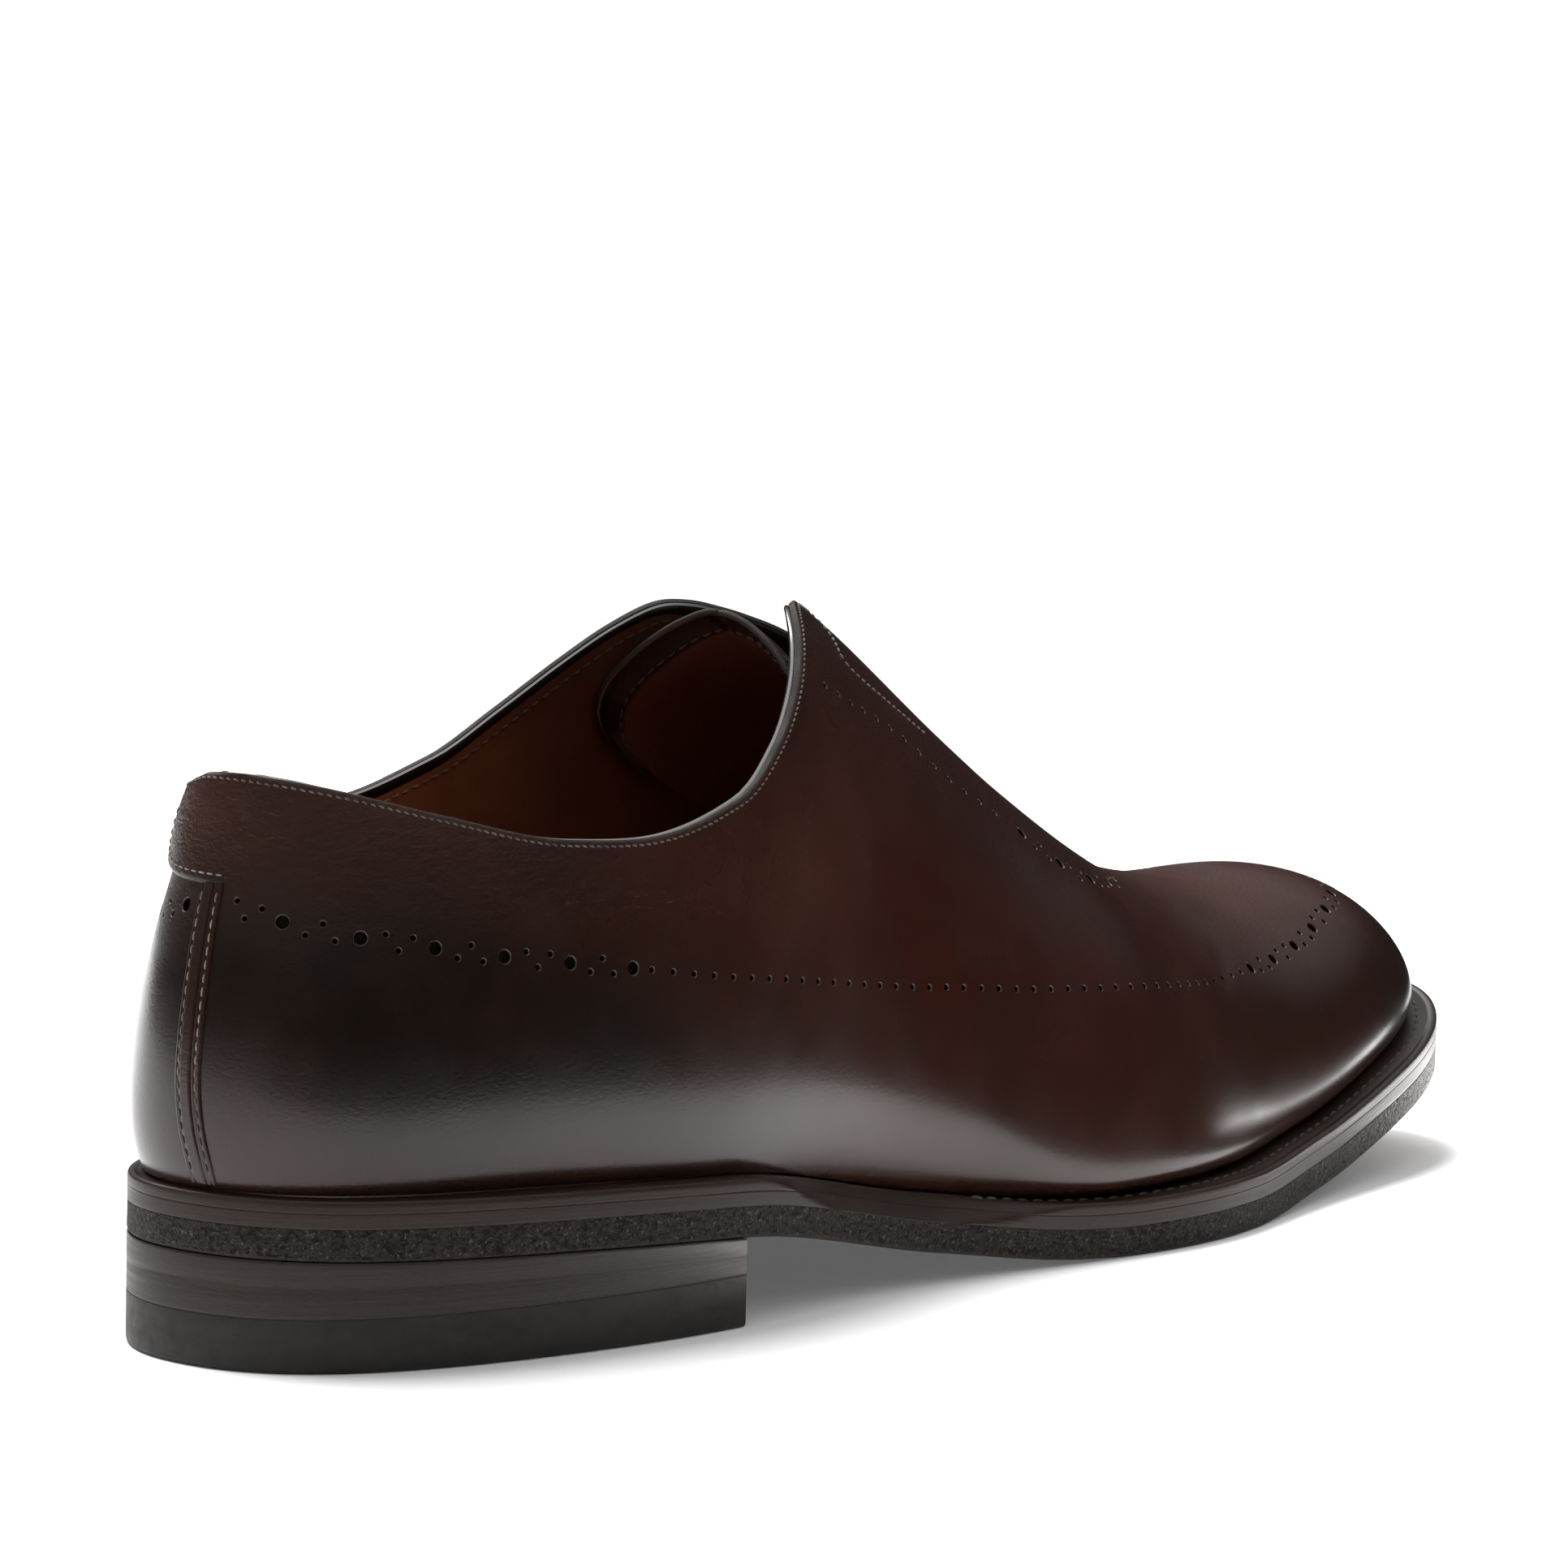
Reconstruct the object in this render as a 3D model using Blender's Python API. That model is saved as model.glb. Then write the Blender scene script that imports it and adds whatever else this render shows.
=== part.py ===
"""Slip-on dress shoe for the right foot: a hollow leather upper on a welted sole with a stacked heel.

Design sizes are in millimetres. X runs from the back of the heel to the toe, Y towards the inner
(medial) side of the foot and Z up from the floor. An empty carries every piece and shifts the design
frame, so that the world origin lies on the floor under the middle of the sole.
"""

import math

import bmesh
import bpy
import numpy as np

MM = 0.001
LATERAL = -1
MEDIAL = 1
MERGE_DISTANCE = 0.001
SHARP_EDGE_DEGREES = 40
RISE_SAMPLES = 241

# Driving sizes of the sole
SOLE_LENGTH = 303.0
HEEL_LENGTH = 78.5
HEEL_RADIUS = 33.0
TOE_RADIUS = 27.0
TOP_LIFT = 8.0
OUTSOLE = 4.8
MIDSOLE = 2.3
WELT = 1.9
WELT_WIDTH = 15.0
INSOLE = 2.6
EDGE_CHAMFER = 0.8
BEVEL_DEPTH = 4.5
SEAM_GAP = 0.3
LEATHER = MIDSOLE + WELT

# Driving sizes of the upper
UPPER_BACK = 1.0
UPPER_TIP = 299.5
UPPER_HEEL_RADIUS = 31.0
UPPER_TOE_RADIUS = 25.0
TOE_SPRING_REACH = 70.0
TUCK_HEIGHT = 7.0
WALL = 2.2
SLIT_END = 178.0
EAR_ROUNDING = 0.02
THROAT_BACK = 82.0
EAR_FRONT = 130.0

# Driving sizes of the overlays and the tongue
TAB_LOW = 68.6
TAB_THICKNESS = 1.3
TAB_LATERAL_ANGLE = -0.40
TAB_MEDIAL_ANGLE = 0.35
TAB_CORNER_ANGLE = -0.012
TAB_SQUARENESS = 4.3
TAB_CORNER_REACH = 0.96
TAB_THIN_SHARE = 0.25
TAB_HEIGHT_OVER_WELT = 60.0
TAB_ROWS = 6
STRIP_HALF_WIDTH = 2.6
STRIP_THICKNESS = 0.6
STRIP_FOOT = 2.0
TONGUE_THICKNESS = 2.0
TONGUE_CLEARANCE = 0.7
TONGUE_FRONT = 205.0
TONGUE_SKEW = 2.0
TONGUE_SINK = 5.2
TONGUE_SINK_REACH = 0.85
TONGUE_EDGE_RISE = 0.46

SOLE_OUTLINE = (
    # share of length, lateral half breadth, medial half breadth
    (0.05, 24.5, 24.5),
    (0.13, 34.0, 34.0),
    (0.26, 40.3, 34.0),
    (0.40, 40.2, 31.0),
    (0.52, 46.0, 36.0),
    (0.62, 49.3, 44.0),
    (0.72, 43.6, 48.5),
    (0.82, 37.3, 45.0),
    (0.92, 29.5, 33.0),
)

SOLE_UNDERSIDE = (
    # distance from the heel back, height of the outsole's underside
    (0.0, 16.5),
    (78.5, 13.4),
    (127.0, 4.8),
    (158.0, 0.5),
    (170.0, 0.0),
    (202.0, 0.0),
    (230.0, 2.4),
    (266.0, 9.5),
    (303.0, 18.3),
)

WAIST_BEVEL = (
    # distance from the heel back, share of the leather edge below the bevel
    (83.0, 1.0),
    (103.0, 0.0),
    (126.0, 0.0),
    (155.0, 1.0),
)

UPPER_BREADTH = (
    # share of length, lateral half breadth, medial half breadth, lateral tuck, medial tuck
    (0.05, 24.2, 24.9, 3.6, 3.6),
    (0.13, 33.0, 33.6, 3.6, 3.6),
    (0.26, 39.2, 35.0, 3.0, 3.4),
    (0.40, 38.6, 32.0, 5.0, 6.0),
    (0.52, 43.5, 35.8, 3.4, 4.0),
    (0.62, 45.9, 41.6, 2.8, 2.8),
    (0.72, 40.0, 44.6, 2.6, 2.6),
    (0.82, 34.0, 40.6, 2.6, 2.6),
    (0.92, 26.4, 27.5, 2.6, 2.6),
)

UPPER_RIDGE = (
    # share of length, height over the floor, offset towards the medial side, fullness of the arch
    (0.00, 106.5, 0.0, 2.20),
    (0.13, 110.0, 0.0, 2.30),
    (0.26, 116.5, 0.0, 2.50),
    (0.40, 104.8, 0.5, 1.80),
    (0.52, 84.4, 1.5, 1.58),
    (0.62, 65.6, 2.0, 1.80),
    (0.72, 53.6, 2.5, 1.95),
    (0.82, 49.8, 3.0, 2.05),
    (0.92, 47.8, 2.5, 2.15),
)

HEEL_CURVE = (
    # height over the welt, distance that the back stands forward of the heel back
    (0.0, -2.6),
    (20.0, -0.2),
    (34.0, 2.8),
    (44.0, 5.6),
    (70.0, 10.9),
    (120.0, 22.6),
)

COLLAR = (
    # distance from the heel back, height of the collar edge over the floor: lateral, medial
    (0.0, 87.0, 87.0),
    (10.2, 84.75, 84.75),
    (10.6, 84.6, 84.6),
    (12.0, 84.3, 83.6),
    (14.5, 83.6, 82.6),
    (18.0, 82.65, 81.4),
    (30.0, 79.2, 78.7),
    (50.0, 74.6, 74.9),
    (62.0, 74.0, 74.6),
    (84.0, 78.4, 79.5),
    (96.0, 85.3, 86.5),
    (106.0, 92.8, 93.8),
    (113.0, 98.4, 99.2),
    (119.0, 102.4, 103.0),
    (126.0, 104.9, 105.4),
)

SLIT = (
    # distance from the heel back, half width of the open slit between the two ears
    (96.0, 0.0),
    (112.0, 12.0),
    (120.0, 11.0),
    (127.0, 8.6),
    (134.0, 6.2),
    (146.0, 3.0),
    (178.0, 0.8),
)

STRIP_PATH = (
    # height over the floor, offset of the strip's middle towards the medial side
    (26.0, -2.5),
    (30.0, -1.8),
    (35.0, -0.7),
    (42.0, 0.2),
    (50.0, 0.5),
    (66.0, 1.4),
)

TONGUE_REAR = (
    # share of the tongue's half width, distance of its rear edge from the heel back
    (0.00, 113.0),
    (0.20, 112.6),
    (0.36, 112.0),
    (0.53, 110.5),
    (0.71, 108.6),
    (0.79, 108.0),
    (0.88, 108.8),
    (0.94, 111.5),
    (1.00, 121.0),
)

MATERIALS = {
    # linear colour, roughness
    "upper_leather": ((0.040, 0.016, 0.010), 0.30),
    "tongue_leather": ((0.030, 0.014, 0.010), 0.38),
    "insole_leather": ((0.230, 0.085, 0.030), 0.55),
    "welt_leather": ((0.045, 0.026, 0.017), 0.42),
    "midsole_leather": ((0.050, 0.030, 0.020), 0.42),
    "outsole_rubber": ((0.034, 0.029, 0.027), 0.80),
    "stack_leather": ((0.060, 0.040, 0.030), 0.45),
    "lift_rubber": ((0.022, 0.019, 0.018), 0.55),
}


def columns(table):
    """The columns of a table, one array each."""
    return np.array(table, float).T


def natural_spline(knots, values):
    """Smooth curve through the knots, without bend at its two ends."""
    count = len(knots)
    step = np.diff(knots)
    matrix = np.eye(count)
    bend = np.zeros(count)
    for i in range(1, count - 1):
        matrix[i, i - 1 : i + 2] = step[i - 1], 2 * (step[i - 1] + step[i]), step[i]
        bend[i] = 6 * ((values[i + 1] - values[i]) / step[i] - (values[i] - values[i - 1]) / step[i - 1])
    bend = np.linalg.solve(matrix, bend)

    def curve(x):
        i = np.clip(np.searchsorted(knots, x) - 1, 0, count - 2)
        width = step[i]
        after = x - knots[i]
        before = knots[i + 1] - x
        cubic = (bend[i] * before**3 + bend[i + 1] * after**3) / (6 * width)
        left = (values[i] / width - bend[i] * width / 6) * before
        right = (values[i + 1] / width - bend[i + 1] * width / 6) * after
        return cubic + left + right

    return curve


def monotone_curve(table):
    """Curve through the rows of a two-column table that never overshoots them, held level past its ends."""
    knots, values = columns(table)
    step = np.diff(knots)
    rise = np.diff(values) / step
    slope = np.concatenate([rise[:1], np.zeros(len(rise) - 1), rise[-1:]])
    for i in range(1, len(rise)):
        if rise[i - 1] * rise[i] > 0:
            before = 2 * step[i] + step[i - 1]
            after = step[i] + 2 * step[i - 1]
            slope[i] = (before + after) / (before / rise[i - 1] + after / rise[i])

    def curve(x):
        i = np.clip(np.searchsorted(knots, x) - 1, 0, len(step) - 1)
        t = np.clip((x - knots[i]) / step[i], 0, 1)
        start = (2 * t**3 - 3 * t**2 + 1) * values[i] + (t**3 - 2 * t**2 + t) * step[i] * slope[i]
        end = (3 * t**2 - 2 * t**3) * values[i + 1] + (t**3 - t**2) * step[i] * slope[i + 1]
        return start + end

    return curve


def sweep(share):
    """Sweep angle of a share of the length: 0 at the back, pi at the tip, with close steps at both ends."""
    return np.arccos(1 - 2 * np.asarray(share, float))


def share_of(angle):
    """Share of the length at a sweep angle."""
    return (1 - np.cos(angle)) / 2


class Outline:
    """Plan outline with a round back and tip, given by half breadths along its length."""

    def __init__(self, back, tip, shares, lateral, medial, back_radius, tip_radius):
        self.back = back
        self.length = tip - back
        ends = np.sqrt(np.array([back_radius, tip_radius]) * self.length / 2)
        angles = sweep(shares)
        knots = np.concatenate([[0], angles, [math.pi]])
        self.curves = {}
        for side, breadths in ((LATERAL, lateral), (MEDIAL, medial)):
            reach = np.concatenate([ends[:1], breadths / np.sin(angles), ends[1:]])
            self.curves[side] = natural_spline(knots, reach)

    def breadth(self, angle, side):
        return np.sin(angle) * self.curves[side](angle)

    def inward(self, angle, side):
        """Unit vector in plan that points from the outline into it."""
        nudge = 1e-3
        first = np.clip(angle - nudge, 0, math.pi - 2 * nudge)
        along_x = nudge * self.length * np.sin(angle)
        along_y = self.breadth(first + 2 * nudge, side) - self.breadth(first, side)
        size = np.hypot(along_x, along_y)
        return along_y / size, -side * along_x / size

    def inset(self, angle, side, distance):
        """Point of the outline, moved inwards by a distance."""
        inward_x, inward_y = self.inward(angle, side)
        x = self.back + self.length * share_of(angle) + distance * inward_x
        return x, side * self.breadth(angle, side) + distance * inward_y

    def angle_at(self, x):
        return sweep((x - self.back) / self.length)


sole_shares, sole_lateral, sole_medial = columns(SOLE_OUTLINE)
sole = Outline(0.0, SOLE_LENGTH, sole_shares, sole_lateral, sole_medial, HEEL_RADIUS, TOE_RADIUS)
underside = monotone_curve(SOLE_UNDERSIDE)
bevel_start = monotone_curve(WAIST_BEVEL)

upper_shares, upper_lateral, upper_medial, tuck_lateral, tuck_medial = columns(UPPER_BREADTH)
upper = Outline(
    UPPER_BACK, UPPER_TIP, upper_shares, upper_lateral, upper_medial, UPPER_HEEL_RADIUS, UPPER_TOE_RADIUS
)
tuck = {
    LATERAL: monotone_curve(tuple(zip(upper_shares, tuck_lateral))),
    MEDIAL: monotone_curve(tuple(zip(upper_shares, tuck_medial))),
}
heel_curve = monotone_curve(HEEL_CURVE)
collar_x, collar_lateral, collar_medial = columns(COLLAR)
collar = {
    LATERAL: monotone_curve(tuple(zip(collar_x, collar_lateral))),
    MEDIAL: monotone_curve(tuple(zip(collar_x, collar_medial))),
}
slit = monotone_curve(SLIT)
tongue_rear = monotone_curve(TONGUE_REAR)
strip_offset = monotone_curve(STRIP_PATH)


def welt_top(x):
    """Height of the welt's upper face, which carries the upper."""
    return underside(x) + OUTSOLE + LEATHER


ridge_shares, ridge_heights, ridge_offsets, ridge_fullness = columns(UPPER_RIDGE)
ridge_angles = sweep(ridge_shares)
ridge_above_welt = ridge_heights - welt_top(UPPER_BACK + upper.length * ridge_shares)
ridge_reach = natural_spline(
    np.append(ridge_angles, math.pi),
    np.append(ridge_above_welt / np.cos(ridge_angles / 2), TOE_SPRING_REACH),
)
ridge_offset = natural_spline(np.append(ridge_angles, math.pi), np.append(ridge_offsets, 0.0))
fullness = natural_spline(ridge_angles, ridge_fullness)


def ridge_height(angle):
    """Height of the ridge over the welt, which falls in a round to nothing at the toe."""
    return np.cos(angle / 2) * ridge_reach(angle)


def tuck_shift(angle, height, side):
    """Plan shift that pulls the lower edge of the upper in towards the welt's seam."""
    inward_x, inward_y = upper.inward(angle, side)
    pull = tuck[side](share_of(angle)) * np.exp(-height / TUCK_HEIGHT)
    return pull * inward_x, pull * inward_y


def upper_foot(angle, side):
    """Height over the floor of the upper's lower edge."""
    share = share_of(angle)
    x = UPPER_BACK + upper.length * share + heel_curve(0.0) * (1 - share) + tuck_shift(angle, 0.0, side)[0]
    return welt_top(x) + SEAM_GAP


def shared(own, other, closing):
    """A side's own value at the welt, passing to the mean of both sides on the ridge."""
    return closing * own + (1 - closing) * (own + other) / 2


def upper_point(angle, rise, side):
    """Point on the outside of the upper. Rise runs from 0 at the welt to 1 on the ridge."""
    share = share_of(angle)
    height = ridge_height(angle) * np.sin(rise * math.pi / 2)
    closing = np.clip(np.cos(rise * math.pi / 2), 0, 1) ** (2 / fullness(angle))
    shift_x, shift_y = tuck_shift(angle, height, side)
    other_x = tuck_shift(angle, height, -side)[0]
    forward = heel_curve(height) * (1 - share)
    middle = ridge_offset(angle)
    x = UPPER_BACK + upper.length * share + forward + shared(shift_x, other_x, closing)
    y = middle + (side * upper.breadth(angle, side) - middle + shift_y) * closing
    z = shared(upper_foot(angle, side), upper_foot(angle, -side), closing) + height
    return np.stack(np.broadcast_arrays(x, y, z), -1)


def rise_at_height(angle, z, side):
    """Rise at which the upper reaches a height over the floor."""
    return np.arcsin(np.clip((z - upper_foot(angle, side)) / ridge_height(angle), 0, 1)) * 2 / math.pi


def first_crossing(rises, excess):
    """Rise at which each row of a table of excesses first turns positive, or 1 where it never does."""
    found = np.ones(len(excess))
    for row, values in enumerate(excess):
        above = int(np.argmax(values > 0))
        if above > 0:
            low, high = values[above - 1], values[above]
            found[row] = rises[above - 1] + (rises[above] - rises[above - 1]) * low / (low - high)
    return found


def top_edge(angles, side):
    """Rise of the upper's top edge: the collar, the edge of the slit, and then the closed ridge."""
    rises = np.linspace(0, 1, RISE_SAMPLES)
    points = upper_point(angles[:, None], rises[None, :], side)
    x, y, z = np.moveaxis(points, -1, 0)
    at_collar = first_crossing(rises, z - collar[side](x))
    at_slit = first_crossing(rises, slit(x) - side * (y - ridge_offset(angles)[:, None]))
    lower, higher = np.minimum(at_collar, at_slit), np.maximum(at_collar, at_slit)
    rounded = lower - EAR_ROUNDING * np.log1p(np.exp((lower - higher) / EAR_ROUNDING))
    return np.where(x[:, -1] < SLIT_END, rounded, 1.0)


def grid_normals(points):
    """Unit normals of a grid of points."""
    down = np.gradient(points, axis=0)
    across = np.gradient(points, axis=1)
    normals = np.cross(down, across)
    return normals / np.linalg.norm(normals, axis=-1, keepdims=True)


def add_piece(name, points, faces, material):
    """Object of a closed or open mesh, given in millimetres, carried by the shoe's empty."""
    mesh = bpy.data.meshes.new(name)
    mesh.from_pydata([tuple(co * MM for co in point) for point in points], [], faces)
    work = bmesh.new()
    work.from_mesh(mesh)
    bmesh.ops.remove_doubles(work, verts=work.verts, dist=MERGE_DISTANCE * MM)
    bmesh.ops.dissolve_degenerate(work, edges=work.edges, dist=MERGE_DISTANCE * MM)
    if not any(edge.is_boundary for edge in work.edges):
        bmesh.ops.recalc_face_normals(work, faces=work.faces)
    work.to_mesh(mesh)
    work.free()
    mesh.shade_smooth()
    mesh.set_sharp_from_angle(angle=math.radians(SHARP_EDGE_DEGREES))
    mesh.materials.append(material)
    piece = bpy.data.objects.new(name, mesh)
    piece.parent = shoe
    bpy.context.scene.collection.objects.link(piece)
    return piece


def loft(name, sections, material, ring=False):
    """Solid through closed sections with equally many points, capped at open ends."""
    count = len(sections[0])
    points = [point for section in sections for point in section]
    faces = []
    for row in range(len(sections) if ring else len(sections) - 1):
        here = row * count
        there = (row + 1) % len(sections) * count
        for i in range(count):
            j = (i + 1) % count
            faces.append((here + i, here + j, there + j, there + i))
    if not ring:
        last = (len(sections) - 1) * count
        faces.append(tuple(range(last, last + count)))
    return add_piece(name, points, faces, material)


def shell(name, inner, outer, material):
    """Solid between two grids of points with the same rows and columns."""
    rows, cols = inner.shape[:2]
    points = np.concatenate([inner.reshape(-1, 3), outer.reshape(-1, 3)])
    size = rows * cols
    faces = []
    for r in range(rows - 1):
        for c in range(cols - 1):
            quad = (r * cols + c, r * cols + c + 1, (r + 1) * cols + c + 1, (r + 1) * cols + c)
            faces.append(quad)
            faces.append(tuple(size + i for i in quad[::-1]))
    rim = [c for c in range(cols)]
    rim += [r * cols + cols - 1 for r in range(1, rows)]
    rim += [(rows - 1) * cols + c for c in range(cols - 2, -1, -1)]
    rim += [r * cols for r in range(rows - 2, 0, -1)]
    for i, a in enumerate(rim):
        b = rim[(i + 1) % len(rim)]
        faces.append((b, a, size + a, size + b))
    return add_piece(name, points, faces, material)


def cross_sections(outline, angles, rows):
    """Sections across a plate. Each row gives an inset from the edge and a height, as functions of x."""
    sections = []
    for angle in angles:
        x_edge = outline.inset(angle, LATERAL, 0.0)[0]
        section = []
        for side, ordered in ((LATERAL, rows), (MEDIAL, rows[::-1])):
            for inset, height in ordered:
                x, y = outline.inset(angle, side, inset(x_edge))
                section.append((x, y, height(x)))
        sections.append(section)
    return sections


def no_inset(x):
    return 0.0


def chamfer_inset(x):
    return EDGE_CHAMFER


def waist_bevel(share):
    """Inset of the leather edge at a share of its height: the waist is bevelled from below upwards."""
    return lambda x: BEVEL_DEPTH * max(0.0, share - float(bevel_start(x)))


def layer(base, offset):
    """Height of a sole layer's face, over a base that follows the underside."""
    return lambda x: float(underside(min(max(x, 0.0), SOLE_LENGTH))) + base + offset


def level(z):
    return lambda x: z


def make_material(name):
    colour, roughness = MATERIALS[name]
    material = bpy.data.materials.new(name)
    material.use_nodes = True
    shader = material.node_tree.nodes["Principled BSDF"]
    shader.inputs["Base Color"].default_value = (*colour, 1.0)
    shader.inputs["Roughness"].default_value = roughness
    return material


def build_heel():
    """Top lift of rubber on the floor, and the leather stack between it and the outsole."""
    angles = np.linspace(0, float(sole.angle_at(HEEL_LENGTH)), 22)
    lift_rows = [
        (chamfer_inset, level(0.0)),
        (no_inset, level(EDGE_CHAMFER)),
        (no_inset, level(TOP_LIFT - SEAM_GAP)),
    ]
    loft("heel_top_lift", cross_sections(sole, angles, lift_rows), make_material("lift_rubber"))
    stack_rows = [(no_inset, level(TOP_LIFT)), (no_inset, layer(0.0, -SEAM_GAP))]
    loft("heel_stack", cross_sections(sole, angles, stack_rows), make_material("stack_leather"))


def sole_angles():
    """Sweep angles of the sole's sections, with rows on both edges of the flat forefoot."""
    flat_start, flat_end = sole.angle_at(SOLE_UNDERSIDE[4][0]), sole.angle_at(SOLE_UNDERSIDE[5][0])
    return np.concatenate(
        [
            np.linspace(0, flat_start, 38, endpoint=False),
            np.linspace(flat_start, flat_end, 5, endpoint=False),
            np.linspace(flat_end, math.pi, 26),
        ]
    )


def build_sole():
    """Rubber outsole, leather midsole and the welt, a leather strip that runs round the whole shoe."""
    angles = sole_angles()
    outsole_rows = [
        (chamfer_inset, layer(0.0, 0.0)),
        (no_inset, layer(0.0, EDGE_CHAMFER)),
        (no_inset, layer(OUTSOLE, -SEAM_GAP)),
    ]
    loft("outsole", cross_sections(sole, angles, outsole_rows), make_material("outsole_rubber"))
    seam = MIDSOLE / LEATHER
    midsole_rows = [
        (waist_bevel(0.0), layer(OUTSOLE, 0.0)),
        (waist_bevel(seam / 2), layer(OUTSOLE, MIDSOLE / 2)),
        (waist_bevel(seam), layer(OUTSOLE + MIDSOLE, -SEAM_GAP)),
    ]
    loft("midsole", cross_sections(sole, angles, midsole_rows), make_material("midsole_leather"))
    base = OUTSOLE + MIDSOLE
    sections = []
    for side, ordered in ((LATERAL, angles), (MEDIAL, angles[-2:0:-1])):
        for angle in ordered:
            x_edge = sole.inset(angle, side, 0.0)[0]
            section = []
            for share, offset in ((seam, 0.0), ((1 + seam) / 2, WELT / 2), (1.0, WELT)):
                x, y = sole.inset(angle, side, waist_bevel(share)(x_edge))
                section.append((x, y, layer(base, offset)(x)))
            for offset in (WELT, 0.0):
                x, y = sole.inset(angle, side, WELT_WIDTH)
                section.append((x, y, layer(base, offset)(x)))
            sections.append(section)
    loft("welt", sections, make_material("welt_leather"), ring=True)


def build_insole():
    """Leather insole on the welt, inside the upper's lower edge."""
    clear = WALL + 2 * SEAM_GAP
    angles = np.linspace(0, math.pi, 46)
    sections = []
    for angle in angles:
        share = share_of(angle)
        section = []
        for side, offsets in ((LATERAL, (SEAM_GAP, INSOLE)), (MEDIAL, (INSOLE, SEAM_GAP))):
            for offset in offsets:
                x, y = upper.inset(angle, side, float(tuck[side](share)) + clear)
                section.append((x, y, layer(OUTSOLE + LEATHER, offset)(x)))
        sections.append(section)
    loft("insole", sections, make_material("insole_leather"))


def upper_angles():
    """Sweep angles of the upper's ribs, closest where the collar climbs to the ears."""
    sweep_from = [float(upper.angle_at(x)) for x in (THROAT_BACK, EAR_FRONT, SLIT_END)]
    return np.concatenate(
        [
            np.linspace(0, sweep_from[0], 14, endpoint=False),
            np.linspace(sweep_from[0], sweep_from[1], 15, endpoint=False),
            np.linspace(sweep_from[1], sweep_from[2], 8, endpoint=False),
            np.linspace(sweep_from[2], math.pi, 20),
        ]
    )


def build_upper(leather):
    """Hollow upper: ribs from the welt to the collar, the slit or the ridge, thickened inwards."""
    angles = upper_angles()
    steps = np.linspace(0, 1, 12)
    points = []
    faces = []
    for side in (LATERAL, MEDIAL):
        rises = top_edge(angles, side)[:, None] * steps[None, :]
        start = len(points)
        points.extend(upper_point(angles[:, None], rises, side).reshape(-1, 3))
        for r in range(len(angles) - 1):
            for c in range(len(steps) - 1):
                here = start + r * len(steps) + c
                quad = (here, here + len(steps), here + len(steps) + 1, here + 1)
                faces.append(quad if side == LATERAL else quad[::-1])
    piece = add_piece("upper", points, faces, leather)
    wall = piece.modifiers.new("wall", "SOLIDIFY")
    wall.thickness = WALL * MM
    wall.offset = -1
    wall.use_quality_normals = True


def around_heel(signed_angles, heights):
    """Points on the outside of the upper round the heel, where negative angles are lateral."""
    angle = np.abs(signed_angles)
    lateral = upper_point(angle, rise_at_height(angle, heights, LATERAL), LATERAL)
    medial = upper_point(angle, rise_at_height(angle, heights, MEDIAL), MEDIAL)
    return np.where((signed_angles < 0)[..., None], lateral, medial)


def overlay(name, points, thickness, material):
    """Piece that lies on the outside of the upper, a seam's gap away from it."""
    outward = grid_normals(points)
    centre = points.reshape(-1, 3).mean(axis=0)
    if np.sum(outward * (points - centre - (SOLE_LENGTH / 2, 0, 0))) < 0:
        outward = -outward
    inner = points + outward * SEAM_GAP
    shell(name, inner, inner + outward * thickness, material)


def build_heel_overlays(leather):
    """Tab that wraps over the top of the back seam, and the sewn strip below it."""
    angles = np.linspace(TAB_LATERAL_ANGLE, TAB_MEDIAL_ANGLE, 22)
    past_corner = (angles - TAB_CORNER_ANGLE) / (TAB_MEDIAL_ANGLE - TAB_CORNER_ANGLE)
    corner = np.clip(past_corner, 0, TAB_CORNER_REACH)
    forward = heel_curve(TAB_HEIGHT_OVER_WELT)
    x = UPPER_BACK + upper.length * share_of(angles) + forward
    top = np.where(angles < 0, collar[LATERAL](x), collar[MEDIAL](x)) - SEAM_GAP
    low = top - (top - TAB_LOW) * (1 - corner**TAB_SQUARENESS) ** (1 / TAB_SQUARENESS)
    heights = low[:, None] + (top - low)[:, None] * np.linspace(0, 1, TAB_ROWS)[None, :]
    taper = np.clip((angles - TAB_LATERAL_ANGLE) / -TAB_LATERAL_ANGLE, TAB_THIN_SHARE, 1)
    points = around_heel(np.repeat(angles[:, None], TAB_ROWS, axis=1), heights)
    overlay("heel_tab", points, TAB_THICKNESS * taper[:, None, None], leather)
    foot = float(welt_top(0.0)) + STRIP_FOOT
    heights = np.linspace(foot, TAB_LOW - 2 * SEAM_GAP, 14)
    across, heights = np.meshgrid(np.linspace(-STRIP_HALF_WIDTH, STRIP_HALF_WIDTH, 5), heights)
    angles = (strip_offset(heights) + across) / math.sqrt(UPPER_HEEL_RADIUS * upper.length / 2)
    points = around_heel(angles, heights)
    overlay("back_strip", points, STRIP_THICKNESS, leather)


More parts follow.
